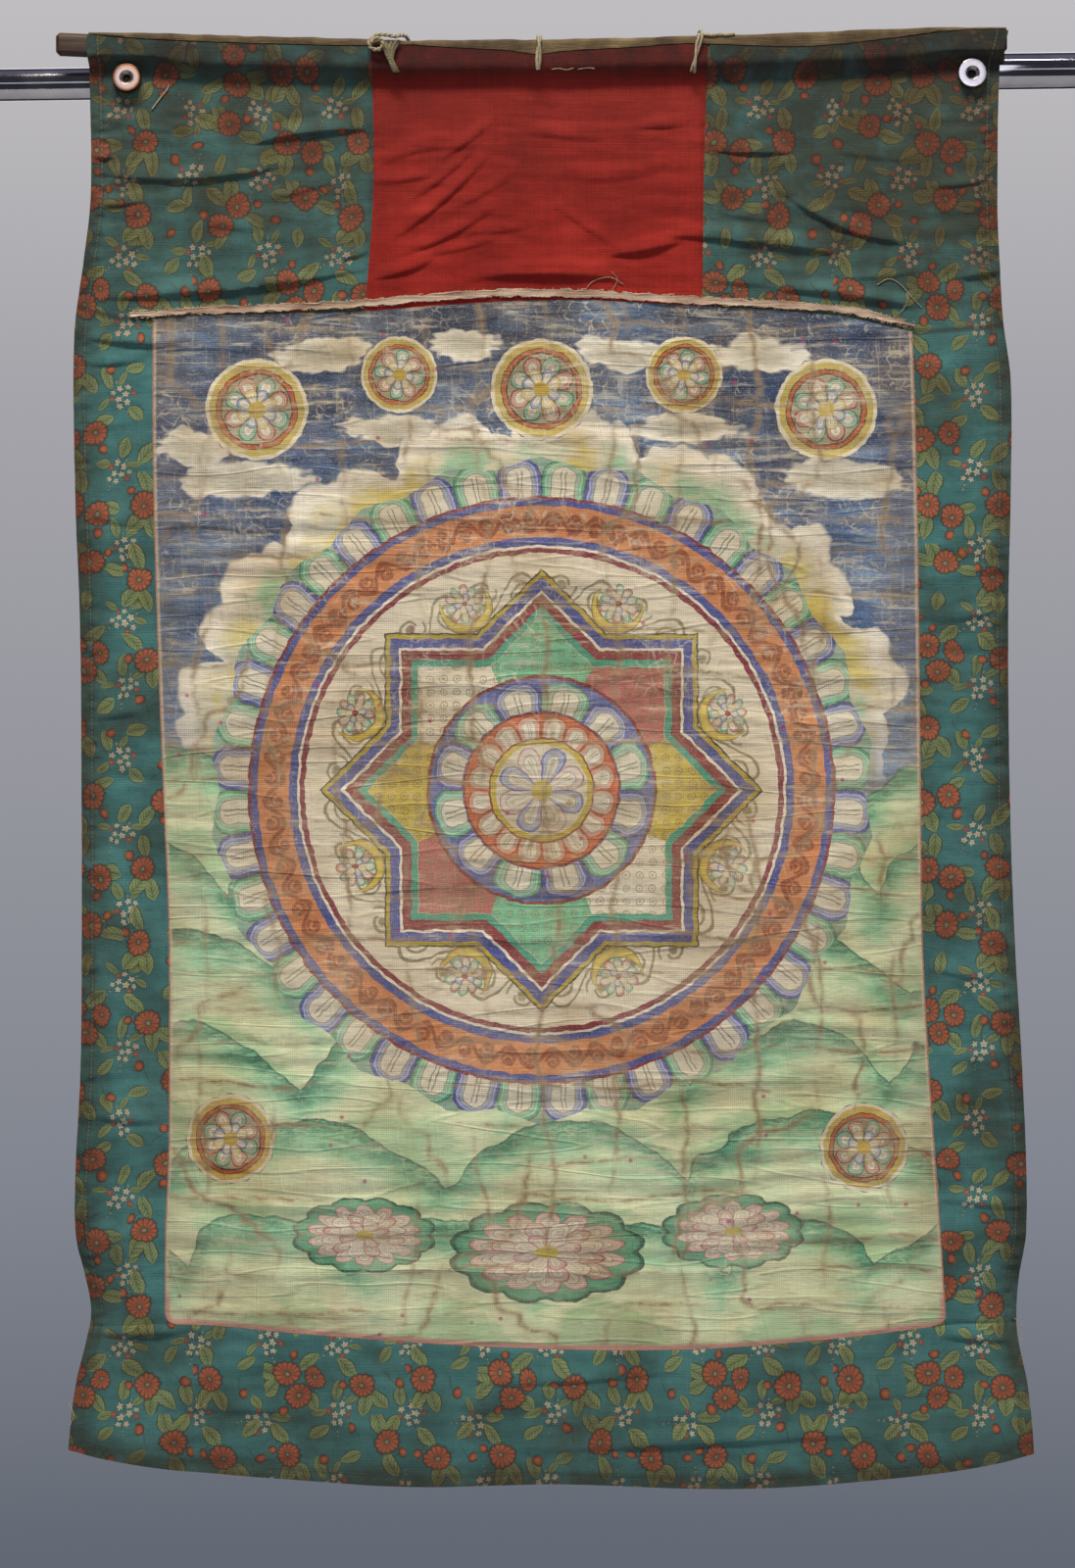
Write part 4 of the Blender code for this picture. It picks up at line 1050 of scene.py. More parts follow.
def star_shape(add, scaled, turn):
    """How far out a point is in an eight-pointed star of two squares, and the colour of its field."""
    reach = None
    for angle in (0.0, math.pi / 4):
        turned = add("VectorRotate", {"Vector": scaled, "Angle": angle}, rotation_type="Z_AXIS")
        turned = add("V_ABSOLUTE", [turned])
        axes = add("SeparateXYZ", [turned])
        square = add("MAXIMUM", [axes, axes.node.outputs[1]])
        reach = square if reach is None else add("MINIMUM", [reach, square])
    sector = add("MULTIPLY_ADD", [turn, 4 / math.pi, 4.5])
    sector = add("WRAP", [sector, 4.0, 0.0])
    sector = add("MULTIPLY", [sector, 0.25])
    stops = [(number / 4, tone) for number, tone in enumerate(STAR_FIELDS)]
    return reach, add("ValToRGB", [sector], stops=stops, sharp=True)


def lay_rosettes(add, ground, point, motifs):
    """Small lotus rosettes in a ring: eight petals round a yellow eye."""
    seen, radius = nearest_motif(add, point, motifs)
    turn = turn_share(add, seen, 2 * math.pi)
    tone = add("ValToRGB", [radius], stops=ROSETTE_BANDS, sharp=True)
    rows = ((0.16, 0.65, 8, "9A4024", "3C8462"), (0.14, 0.40, 8, "BC9E2C", "50609C"))
    tone = lay_flower(add, tone, radius, turn, rows, 0.16, "B59A3E")
    lobe = add("MULTIPLY", [turn, 16 / (2 * math.pi)])
    lobe = add("PINGPONG", [lobe, 0.5])
    edge = add("MapRange", [lobe, 0.0, 0.5, 1.0, 0.965])
    within = add("LESS_THAN", [radius, edge])
    return blend_colours(add, within, ground, tone)


ROSETTE_BANDS = (
    (0.0, "948E72"), (0.66, "4C3428"), (0.69, "A8582E"), (0.76, "4C3428"), (0.78, "B4A052"),
    (0.90, "D0C8AE"), (0.975, "5A564A"),
)


def lay_lotuses(add, ground, point, motifs):
    """Open lotus flowers seen aslant, each on a round leaf."""
    seen, radius = nearest_motif(add, point, motifs)
    turn = turn_share(add, seen, 2 * math.pi)
    lobe = add("MULTIPLY", [turn, 6.0])
    lobe = add("SINE", [lobe])
    lobe = add("ABSOLUTE", [lobe])
    edge = add("MULTIPLY_ADD", [lobe, 0.13, 1.2])
    share = add("DIVIDE", [radius, edge])
    leaf_tone = add("ValToRGB", [share], stops=((0.6, "6FAE8C"), (0.92, "549674"), (0.96, "2F5C4A")))
    leaf = add("LESS_THAN", [share, 1.0])
    tone = blend_colours(add, leaf, ground, leaf_tone)
    return lay_flower(add, tone, radius, turn, LOTUS_ROWS, 0.16, "B9A84A")


LOTUS_ROWS = (
    (0.30, 1.06, 14, "C09084", "CDA898"), (0.20, 0.78, 12, "D2C4AC", "C08A7C"),
    (0.10, 0.48, 8, "B8707A", "D2BCA6"),
)


def lay_clouds(add, ground, point):
    """A bank of round clouds over the medallion and small ones in the sky: cream, with yellow and mint
    where they meet the medallion."""
    wander = add("TexNoise", [point, None, 0.022, 3.0], 1)
    chance = add("SeparateXYZ", [wander])
    tints = ((0.42, "86B892"), (0.5, "CCC4A6"), (0.58, "C4B448"))
    tint = add("ValToRGB", [chance.node.outputs[2]], stops=tints)
    radius = add("V_LENGTH", [point], 1)
    turn = turn_share(add, point, 2 * math.pi)
    lobes = None
    for count, height in ((8.5, 22.0), (21.0, 9.0)):
        shifted = add("MULTIPLY", [chance, 3.4, None])
        at = add("MULTIPLY_ADD", [turn, count, shifted])
        lobe = add("SINE", [at])
        lobe = add("ABSOLUTE", [lobe])
        lobe = add("MULTIPLY", [lobe, height])
        lobes = lobe if lobes is None else add("ADD", [lobes, lobe])
    up = add("SeparateXYZ", [point], 1)
    high = add("MapRange", [up, -20.0, 60.0, 0.0, 1.0])
    thick = add("ADD", [lobes, 10.0])
    thick = add("MULTIPLY", [thick, high])
    out = add("SUBTRACT", [radius, MEDALLION_RADIUS * 0.97])
    share = add("DIVIDE", [out, thick])
    bank = add("ValToRGB", [share], stops=CLOUD_TONES)
    bank = lay_over(add, bank, tint, [share, 0.25, 0.65, 0.8, 0.0])
    shown = add("MapRange", [share, 0.97, 1.03, 1.0, 0.0])
    shown = add("MULTIPLY", [shown, high])
    seen, away = nearest_motif(add, point, CLOUDS)
    rough = add("TexNoise", [point, None, 0.045, 2.0])
    away = add("MULTIPLY_ADD", [rough, 1.3, away])
    puff = add("PINGPONG", [turn_share(add, seen, 12.0), 0.5])
    away = add("MULTIPLY_ADD", [puff, -0.3, away])
    small = add("MapRange", [away, 0.9, 1.65, 0.0, 1.0])
    small_tone = add("ValToRGB", [small], stops=CLOUD_TONES)
    tone = lay_over(add, ground, small_tone, [away, 1.50, 1.66, 0.9, 0.0])
    return blend_colours(add, shown, tone, bank)


CLOUD_TONES = ((0.0, "BDB8A2"), (0.40, "CCC6AE"), (0.72, "E0DAC6"), (0.93, "DED8C6"), (1.0, "A2A8A8"))


def lay_hills(add, ground, point):
    """Rows of round green hills. Each ridge is brushed dark and fades down to a pale slope."""
    axes = add("SeparateXYZ", [point])
    wander = add("TexNoise", [point, None, 0.011, 3.0])
    brushed = stretched_noise(add, point, (0.016, 0.05), 4.0)
    hatched = stretched_noise(add, point, (0.10, 0.42), 2.0)
    tone = ground
    for level, rise, width, shift in HILLS:
        run = add("ADD", [axes, shift])
        run = add("MULTIPLY_ADD", [wander, 90.0, run])
        run = add("PINGPONG", [run, width / 2])
        run = add("MULTIPLY", [run, 2 / width])
        arch = add("MULTIPLY", [run, run])
        ridge = add("MULTIPLY_ADD", [arch, -rise, level + rise / 2])
        ridge = add("MULTIPLY_ADD", [wander, 30.0, ridge])
        depth = add("SUBTRACT", [ridge, axes.node.outputs[1]])
        feathered = add("MULTIPLY_ADD", [brushed, 74.0, depth])
        share = add("MapRange", [feathered, 32.0, 104.0, 0.0, 1.0])
        slope = add("ValToRGB", [share], stops=HILL_TONES)
        near = add("MapRange", [depth, 2.0, 15.0, 0.62, 0.50])
        hatch = add("SUBTRACT", [hatched, near])
        hatch = add("MapRange", [hatch, -0.10, -0.06, 0.0, 0.55])
        close = add("MapRange", [depth, 6.0, 16.0, 1.0, 0.0])
        hatch = add("MULTIPLY", [hatch, close])
        slope = blend_colours(add, hatch, slope, "35705C")
        slope = lay_over(add, slope, "2C5648", [depth, 0.6, 2.4, 0.8, 0.0])
        tone = lay_over(add, tone, slope, [depth, -0.3, 0.5, 0.0, 1.0])
    return tone


HILL_TONES = (
    (0.0, "4A8E6E"), (0.12, "68AA84"), (0.30, "98C69C"), (0.55, "C4D4AA"), (0.82, "D0D8AE"),
    (1.0, "A6C698"),
)


def painted_design(add, point):
    """Sky, clouds, hills, rosettes, lotus pond and medallion, brushed a little unevenly."""
    point = wandered(add, point, 0.11, 2.0, 3.0)
    height = add("SeparateXYZ", [point], 1)
    share = add("MapRange", [height, 0.0, 330.0, 0.0, 1.0])
    sky = add("ValToRGB", [share], stops=SKY_TONES)
    patch = stretched_noise(add, point, (0.010, 0.022))
    sky = lay_over(add, sky, "7F9CB8", [patch, 0.46, 0.66, 0.0, 0.6])
    brushed = stretched_noise(add, point, (0.02, 0.30), 3.0)
    sky = lay_over(add, sky, "26324A", [brushed, 0.38, 0.62, 0.6, 0.0])
    tone = lay_clouds(add, sky, point)
    tone = lay_hills(add, tone, point)
    tone = lay_lotuses(add, tone, point, LOTUSES)
    tone = lay_rosettes(add, tone, point, ROSETTES)
    return lay_medallion(add, tone, point)


SKY_TONES = ((0.0, "7492B0"), (0.35, "46668F"), (0.75, "2F4A72"), (1.0, "283A56"))


def stretched_noise(add, point, stretch, detail=5.0):
    """Noise drawn out along one way of the cloth."""
    at = add("V_MULTIPLY", [point, (*stretch, 0.0)])
    return add("TexNoise", [at, None, 1.0, detail, 0.68], noise_dimensions="2D")


def creases(add, point, spacing, degrees, seed):
    """Long wandering creases about a spacing apart: how far off the nearest is, and how strong."""
    turned = add("VectorRotate", {"Vector": point, "Angle": math.radians(degrees)}, rotation_type="Z_AXIS")
    at = add("V_MULTIPLY", [turned, (1 / spacing, 0.010, 0.0)])
    at = add("V_ADD", [at, (seed, seed, 0.0)])
    axes = add("SeparateXYZ", [at])
    number = add("FLOOR", [axes])
    row = add("MULTIPLY", [number, 7.31])
    spot = add("CombineXYZ", [row, axes.node.outputs[1]])
    wander = add("TexNoise", [spot, None, 1.0, 4.0, 0.5], 1, noise_dimensions="2D")
    chance = add("SeparateXYZ", [wander])
    off = add("SUBTRACT", [axes, number])
    off = add("SUBTRACT", [off, chance])
    off = add("ABSOLUTE", [off])
    off = add("MULTIPLY", [off, spacing])
    strength = add("MapRange", [chance.node.outputs[1], 0.44, 0.62, 0.0, 1.0])
    broken = stretched_noise(add, point, (0.09, 0.09), 3.0)
    broken = add("MapRange", [broken, 0.36, 0.58, 0.25, 1.0])
    return off, add("MULTIPLY", [strength, broken])


# Families of creases: spacing, direction in degrees from upright, seed, width
CREASES = (
    (47.0, 0.0, 3.4, 0.75), (26.0, 90.0, 11.7, 0.5), (120.0, 38.0, 5.2, 0.9), (140.0, -33.0, 8.9, 0.9),
)


def worn(add, tone, point):
    """Wear of the paint: level rubbing, scratches, crackled patches, long brown creases and stains."""
    up = add("SeparateXYZ", [point], 1)
    in_sky = add("MapRange", [up, -10.0, 90.0, 0.0, 1.0])
    where = add("TexNoise", [point, None, 0.02, 4.0, 0.6])
    most_veil = add("MapRange", [in_sky, 0.0, 1.0, 0.30, 0.16])
    tone = lay_over(add, tone, "BEB294", [where, 0.36, 0.68, 0.02, most_veil])
    for stretch, low, high, most, sky_gain in (
        ((0.030, 0.22), 0.64, 0.51, 0.50, 0.035),
        ((0.24, 0.024), 0.68, 0.57, 0.30, 0.030),
    ):
        rub = stretched_noise(add, point, stretch)
        limit = add("MapRange", [where, 0.36, 0.66, low, high])
        limit = add("MULTIPLY_ADD", [in_sky, -sky_gain, limit])
        rubbed = add("SUBTRACT", [rub, limit])
        tone = lay_over(add, tone, "D0C7AC", [rubbed, 0.0, 0.15, 0.0, most])
    crackle_at = add("TexNoise", [point, None, 0.08, 2.0], 1, noise_dimensions="2D")
    crackle_at = add("V_MULTIPLY_ADD", [crackle_at, (16.0, 16.0, 0.0), point])
    crackle = add("TexVoronoi",
        {"Vector": crackle_at, "Scale": 0.11, "Randomness": 1.0},
        feature="DISTANCE_TO_EDGE",
        voronoi_dimensions="2D",
    )
    crackle = add("MapRange", [crackle, 0.0, 0.12, 0.66, 0.0])
    gaps = stretched_noise(add, point, (0.16, 0.16), 3.0)
    gaps = add("MapRange", [gaps, 0.40, 0.58, 0.1, 1.0])
    crackle = add("MULTIPLY", [crackle, gaps])
    patches = stretched_noise(add, point, (0.016, 0.022), 3.0)
    patches = add("MapRange", [patches, 0.47, 0.58, 0.0, 1.0])
    crackle = add("MULTIPLY", [crackle, patches])
    in_sky = add("MapRange", [in_sky, 0.0, 1.0, 0.3, 1.0])
    crackle = add("MULTIPLY", [crackle, in_sky])
    tone = blend_colours(add, crackle, tone, "CEC6AE")
    speck = stretched_noise(add, point, (0.5, 0.9), 4.0)
    tone = lay_over(add, tone, "C4BA9C", [speck, 0.57, 0.68, 0.0, 0.36])
    cracks = None
    for spacing, degrees, seed, width in CREASES:
        off, strength = creases(add, point, spacing, degrees, seed)
        halo = add("MapRange", [off, 1.4 * width, 4.6 * width + 1.0, 0.5, 0.0])
        tone = blend_colours(add, add("MULTIPLY", [halo, strength]), tone, "B09C7A")
        line = add("MapRange", [off, 0.3 * width, 3.4 * width, 0.72, 0.0])
        line = add("MULTIPLY", [line, strength])
        cracks = line if cracks is None else add("MAXIMUM", [cracks, line])
    tone = blend_colours(add, cracks, tone, "86745A")
    stain = add("TexNoise", [point, None, 0.012, 6.0, 0.62])
    stain = add("MapRange", [stain, 0.44, 0.70, 0.0, 0.6])
    tone = blend_colours(add, stain, tone, blend_colours(add, 1.0, tone, "C4AA80", "MULTIPLY"))
    drops_at = {"Vector": point, "Scale": 0.022, "Randomness": 1.0}
    drops = add("TexVoronoi", drops_at, voronoi_dimensions="2D")
    drop = add("MapRange", [drops, 0.022, 0.042, 0.7, 0.0])
    few = add("TexNoise", [point, None, 0.009, 1.0])
    few = add("MapRange", [few, 0.50, 0.54, 0.0, 1.0])
    tone = blend_colours(add, add("MULTIPLY", [drop, few]), tone, "A23A66")
    edge = add("Attribute", attribute_name="canvas_edge", out=2)
    grime = add("MapRange", [edge, 2.0, 34.0, 0.62, 0.0])
    grime = add("MULTIPLY", [grime, where])
    tone = blend_colours(add, grime, tone, "76664A")
    tone = lay_over(add, tone, "B8A68A", [edge, 1.5, 2.6, 0.7, 0.0])
    at_foot = add("MapRange", [up, -352.0, -342.0, 1.0, 0.0])
    pink = add("MapRange", [edge, 2.0, 4.4, 0.8, 0.0])
    return blend_colours(add, add("MULTIPLY", [pink, at_foot]), tone, "B07A72")


def painted_canvas():
    """Distemper on primed cotton canvas. The eye sees matt, chalky colour worn through to cream ground
    in level streaks, with brown cracks where the scroll was rolled and folded."""
    material, add, shader = start_material("distemper_on_primed_canvas")
    cloth = cloth_point(add)
    point = add("V_SUBTRACT", [cloth, (*MEDALLION_AT, 0.0)])
    tone = painted_design(add, point)
    tone = worn(add, tone, point)
    # real threads are 0.5 mm apart, drawn at 1.3 mm so that they show
    threads = woven(add, cloth, 1.3, 22.0)
    # The threads' tops are painted lighter than the hollows: painted highlight of the weave.
    tone = darken(add, tone, threads, 0.7, 2.2, 1.03, 1.13)
    height = threads
    for stretch, rise in (((0.007, 0.05), 2.4), ((0.04, 0.009), 1.6)):
        crease = stretched_noise(add, cloth, stretch, 1.0)
        crease = add("SUBTRACT", [crease, 0.5])
        crease = add("ABSOLUTE", [crease])
        crease = add("MapRange", [crease, 0.0, 0.05, rise, 0.0], interpolation_type="SMOOTHSTEP")
        height = add("ADD", [height, crease])
    rumple = stretched_noise(add, cloth, (0.022, 0.07), 3.0)
    height = add("MULTIPLY_ADD", [rumple, 9.0, height])
    finish_surface(add, shader, tone, height, 0.4, 0.0005, 0.78)
    shader.inputs["Specular IOR Level"].default_value = 0.25
    return material


# ---------------------------------------------------------------- cords, wood and metal


def cotton_cord(name, tones, fibre_scale):
    """Twisted cotton. The eye sees fuzzy fibres of uneven tone."""
    material, add, shader = start_material(name)
    place_at = add("TexCoord", out=3)
    fibres = add("TexNoise", [place_at, None, fibre_scale, 6.0, 0.7])
    tone = add("ValToRGB", [fibres], stops=tones)
    finish_surface(add, shader, tone, fibres, 0.6, 0.0006, 0.9)
    shader.inputs["Sheen Weight"].default_value = 0.3
    shader.inputs["Specular IOR Level"].default_value = 0.2
    return material


def lath_wood():
    """Planed softwood, oiled and dirty. The eye sees brown grain lines along the lath and a dull gloss."""
    material, add, shader = start_material("oiled_softwood")
    place_at = add("TexCoord", out=3)
    # growth rings 1.5 mm apart show as lines along the lath
    stretched = add("V_MULTIPLY", [place_at, (14.0, 420.0, 420.0)])
    grain = add("TexNoise", [stretched, None, 1.0, 5.0, 0.6])
    browns = ((0.30, "20160C"), (0.5, "3A2916"), (0.62, "4E3820"), (0.75, "32230F"))
    tone = add("ValToRGB", [grain], stops=browns)
    grime = add("TexNoise", [place_at, None, 60.0, 4.0])
    tone = lay_over(add, tone, "2C2118", [grime, 0.4, 0.7, 0.0, 0.5])
    gloss = add("MapRange", [grain, 0.3, 0.7, 0.42, 0.66])
    finish_surface(add, shader, tone, grain, 0.5, 0.0004, gloss)
    return material


def nickel_plate(name, tones, roughness):
    """Polished nickel plate over a pressed disc. The eye sees a warm mirror with fine marks from the
    middle outwards, a worn rim and a darker sink; the hole and a ring at the sink's edge are painted dark
    as shade."""
    material, add, shader = start_material(name)
    from_middle = add("Attribute", attribute_name="from_middle", out=1)
    away = add("SeparateXYZ", [from_middle], 2)
    flat = add("V_MULTIPLY", [from_middle, (1.0, 1.0, 0.0)])
    outwards = add("V_NORMALIZE", [flat])
    marks = add("TexNoise", [outwards, None, 7.0, 6.0, 0.7])
    lie = add("MULTIPLY_ADD", [marks, 1.6, away])
    share = add("MapRange", [lie, 0.8, 10.8, 0.0, 1.0])
    tone = add("ValToRGB", [share], stops=tones)
    gloss = add("MapRange", [marks, 0.35, 0.7, roughness, roughness + 0.22])
    finish_surface(add, shader, tone, marks, 0.10, 0.0003, gloss)
    shader.inputs["Metallic"].default_value = 1.0
    return material


# Tones from the hole outwards: the hole, painted dark as shade; the sink; a dark ring of painted
# shade at its edge; the face; and the rim
BRIGHT_NICKEL_TONES = (
    (0.20, "2E2A2C"), (0.27, "8E8A8C"), (0.44, "AEAAAC"), (0.47, "4A4648"), (0.51, "C0BCBE"),
    (0.91, "C8C6C8"), (0.97, "9A9698"),
)
WORN_NICKEL_TONES = (
    (0.20, "241C18"), (0.27, "8A7A74"), (0.43, "C4B4AC"), (0.47, "4C3A30"), (0.52, "D6C6BC"),
    (0.76, "CCB0A0"), (0.88, "96603E"), (0.97, "6E4630"),
)


def chrome_plate():
    """Polished chromium plate on steel tube. The eye sees a mirror drawn out along the tube, with faint
    polishing lines and fingerprints that only its gloss shows."""
    material, add, shader = start_material("polished_chromium_plate")
    place_at = add("TexCoord", out=3)
    stretched = add("V_MULTIPLY", [place_at, (9.0, 900.0, 900.0)])
    lines = add("TexNoise", [stretched, None, 1.0, 3.0])
    smudge = add("TexNoise", [place_at, None, 45.0, 5.0])
    tone = add("ValToRGB", [smudge], stops=((0.35, "B9B9BE"), (0.7, "D2D2D6")))
    gloss = add("MapRange", [smudge, 0.4, 0.75, 0.05, 0.16])
    finish_surface(add, shader, tone, lines, 0.06, 0.0002, gloss)
    shader.inputs["Metallic"].default_value = 1.0
    return material


def matt_floor():
    """Pale matt paint with a faint mottle from the roller."""
    material, add, shader = start_material("matt_floor_paint")
    place_at = add("TexCoord", out=3)
    mottle = add("TexNoise", [place_at, None, 30.0, 4.0])
    tone = add("ValToRGB", [mottle], stops=((0.3, "B4B5B9"), (0.7, "BEBFC3")))
    finish_surface(add, shader, tone, mottle, 0.1, 0.001, 0.85)
    return material


# ---------------------------------------------------------------- modelling


def start_clean():
    if bpy.context.object and bpy.context.object.mode != "OBJECT":
        bpy.ops.object.mode_set(mode="OBJECT")
    bpy.ops.object.select_all(action="DESELECT")


def choose_only(piece):
    start_clean()
    bpy.context.view_layer.objects.active = piece
    piece.select_set(True)


def finish_piece(piece, name, finishes, angle=35.0):
    """Names a piece, gives it its materials, bakes its place into its mesh and smooths its round faces."""
    choose_only(piece)
    bpy.ops.object.transform_apply(location=True, rotation=True, scale=True)
    bpy.ops.object.shade_smooth_by_angle(angle=math.radians(angle))
    piece.name = name
    piece.data.name = name
    for finish in finishes:
        piece.data.materials.append(finish)
    return piece


def apply_modifiers(piece):
    choose_only(piece)
    for modifier in list(piece.modifiers):
        bpy.ops.object.modifier_apply(modifier=modifier.name)


def round_edges(piece, width, segments, least_angle):
    """Rounds the edges that turn by more than an angle in degrees. One segment makes a chamfer."""
    rounding = piece.modifiers.new("rounding", "BEVEL")
    rounding.width = width * MM
    rounding.segments = segments
    rounding.limit_method = "ANGLE"
    rounding.angle_limit = math.radians(least_angle)
    apply_modifiers(piece)


def turned_bar(vertices, radius, length):
    """A round bar that stands on the origin."""
    start_clean()
    bpy.ops.mesh.primitive_cylinder_add(
        vertices=vertices, radius=radius * MM, depth=length * MM, location=(0.0, 0.0, length * MM / 2)
    )
    bpy.ops.object.transform_apply(location=True)
    return bpy.context.object


def draw_out(length):
    """Extrudes the chosen faces upwards."""
    bpy.ops.mesh.extrude_region_move(TRANSFORM_OT_translate={"value": (0.0, 0.0, length * MM)})


def choose(kind, parts, wanted):
    """In edit mode, selects the faces or edges that a test picks."""
    bpy.ops.object.mode_set(mode="EDIT")
    bpy.ops.mesh.select_mode(type=kind)
    bpy.ops.mesh.select_all(action="DESELECT")
    bpy.ops.object.mode_set(mode="OBJECT")
    for part in parts:
        part.select = bool(wanted(part))
    bpy.ops.object.mode_set(mode="EDIT")


def put_in_scene(name, data):
    holder = bpy.data.objects.new(name, data)
    bpy.context.scene.collection.objects.link(holder)
    return holder


def make_sheet(name, columns, rows, spread, thickness, finishes):
    """A cloth piece: a grid laid out by spread, from its shares across and down, and then given its
    thickness. The right side takes the first finish and the wrong side the second."""
    start_clean()
    bpy.ops.mesh.primitive_grid_add(x_subdivisions=columns, y_subdivisions=rows, size=2.0)
    piece = bpy.context.object
    mesh = piece.data
    flat = np.empty(len(mesh.vertices) * 3)
    mesh.vertices.foreach_get("co", flat)
    flat = flat.reshape(-1, 3)
    laid_across, laid_drop, across, drop, depth = spread((flat[:, 0] + 1) / 2, (1 - flat[:, 1]) / 2)
    hung = np.column_stack([CENTRE_LINE_X + across, -depth, TOP_Z - drop]) * MM
    mesh.vertices.foreach_set("co", hung.ravel())
    while mesh.uv_layers:
        mesh.uv_layers.remove(mesh.uv_layers[0])
    corners = np.empty(len(mesh.loops), int)
    mesh.loops.foreach_get("vertex_index", corners)
    laid = np.column_stack([laid_across, -laid_drop]) * MM
    mesh.uv_layers.new(name="cloth").uv.foreach_set("vector", laid[corners].ravel())
    edge = np.minimum(laid_across - outer_left(laid_drop), outer_right(laid_drop) - laid_across)
    edge = np.minimum(edge, foot_hem(laid_across) - laid_drop)
    inner = np.minimum(laid_across - painting_left(laid_drop), painting_right(laid_drop) - laid_across)
    inner = np.minimum(inner, foot_seam(laid_across) - laid_drop)
    seam = np.abs(laid_drop - header_foot(laid_across))
    for title, reach in (("edge", edge), ("canvas_edge", inner), ("seam", seam)):
        mesh.attributes.new(title, "FLOAT", "POINT").data.foreach_set("value", reach)
    for finish in finishes:
        mesh.materials.append(finish)
    mesh.update()
    shell = piece.modifiers.new("thickness", "SOLIDIFY")
    shell.thickness = thickness * MM
    shell.offset = 0.0
    shell.material_offset = 1
    shell.material_offset_rim = 0
    apply_modifiers(piece)
    return finish_piece(piece, name, (), 60.0)


def panel_spread(left, right, top, foot, insets=(0.0, 0.0, 0.0, 0.0), crowding=0.0):
    """Fills the space between four edge curves. The insets are for the left, right, top and foot, and
    crowding brings the rows closer together at the top."""
    left_inset, right_inset, top_inset, foot_inset = insets

    def spread(column_share, row_share):
        down = row_share * (1 - crowding + crowding * row_share)
        across = np.zeros(len(column_share))
        for _ in range(10):
            top_edge = top(across) + top_inset
            foot_edge = foot(across) - foot_inset
            drop = top_edge + (foot_edge - top_edge) * down
            left_edge = left(drop) + left_inset
            right_edge = right(drop) - right_inset
            across = left_edge + (right_edge - left_edge) * column_share
        return across, drop, *hang(across, drop)

    return spread


def header_spread(left, right):
    """A heading panel, with closer rows round the lath."""
    return panel_spread(left, right, header_top, header_foot, crowding=0.65)


def facing_spread(column_share, row_share):
    """The facing: round the lath from its front edge over the top and down the back to its hem."""
    left = outer_left(0.0) + CLOTH
    right = outer_right(0.0) - CLOTH
    across = left + (right - left) * column_share
    middle = SLEEVE_CORNER_RADIUS + CLOTH / 2
    front_edge = header_top(across) - facing_top(across) - FACING_TO_HEADER
    start = np.arcsin(np.clip((middle - front_edge) / SLEEVE_CORNER_RADIUS, 0.0, 1.0))
    front_share = np.clip((row_share - 0.05) / 0.35, 0.0, 1.0)
    front = start + (math.pi / 2 - start) * front_share
    back = math.pi / 2 * (1 - np.clip((row_share - 0.45) / 0.35, 0.0, 1.0))
    on_front = row_share < 0.42
    angle = np.where(on_front, front, back)
    out = SLEEVE_CORNER_RADIUS * np.cos(angle)
    front_depth = SLEEVE_FRONT_DEPTH - SLEEVE_CORNER_RADIUS + out
    back_depth = SLEEVE_BACK_DEPTH + SLEEVE_CORNER_RADIUS - out
    depth = np.where(on_front, front_depth, back_depth)
    below_top = middle - SLEEVE_CORNER_RADIUS * np.sin(angle)
    below_top = np.where(row_share < 0.04, front_edge, below_top)
    depth = np.where(row_share < 0.04, sleeve_depth(across, front_edge), depth)
    down_back = np.clip((row_share - 0.81) / 0.19, 0.0, 1.0)
    below_top = np.where(row_share > 0.81, middle + (FACING_HEM - middle) * down_back, below_top)
    uneven = 0.35 * soft_noise(across / 9.0, row_share * 3, 51) * (row_share > 0.05)
    drop = facing_top(across) + below_top
    return across, drop - depth + SLEEVE_FRONT_DEPTH, across, drop + uneven, depth


def strip_spread(column_share, row_share):
    """The raw strip: its torn edges wander and lift, and it lies a little wavy over the seam."""
    left, right = STRIP_ENDS
    across = left + (right - left) * column_share
    side = 2 * row_share - 1
    torn = 0.75 * soft_noise(across / 5.5, side, 61) + 0.45 * soft_noise(across / 1.9, side + 3, 62)
    width = STRIP_HALF_WIDTH * (1 + 0.16 * soft_noise(across / 34.0, side, 63))
    width = width * (0.5 + 0.5 * smoothstep(0.0, 70.0, across - left))
    width = width * (0.35 + 0.65 * smoothstep(0.0, 30.0, right - across))
    drop = strip_middle(across) + side * width + torn * side**2
    lift = 0.55 * side**2 * (0.6 + soft_noise(across / 11.0, side, 64))
    wave = 0.25 * soft_noise(across / 13.0, side, 65)
    depth = cloth_depth(across, drop) + CLOTH + STRIP_GAP + np.maximum(lift, 0.0) + wave
    return across, drop, across, drop, depth


def tape_spread(column_share, row_share):
    """The gathered tape end: pleats that close up towards its foot."""
    drop = TIE_TAIL[0][0] + (TIE_TAIL[-1][0] - TIE_TAIL[0][0]) * row_share
    left = read_curve(TIE_TAIL, 1, drop)
    right = read_curve(TIE_TAIL, 2, drop)
    across = left + (right - left) * column_share
    below_top = drop - facing_top(across)
    slope = (sleeve_depth(across, below_top + 1) - sleeve_depth(across, below_top - 1)) / 2
    clear = (CLOTH + TAIL_THICKNESS) / 2 + TAIL_CLEARANCE
    pleat = 1.0 * np.sin(column_share * 4 * math.pi + 1.3 * np.sin(row_share * 5)) ** 2
    pleat += 0.4 * soft_noise(column_share * 9, row_share * 6, 71)
    depth = sleeve_depth(across, below_top) + clear * np.hypot(1, slope) + pleat
    return across, drop, across, drop, depth


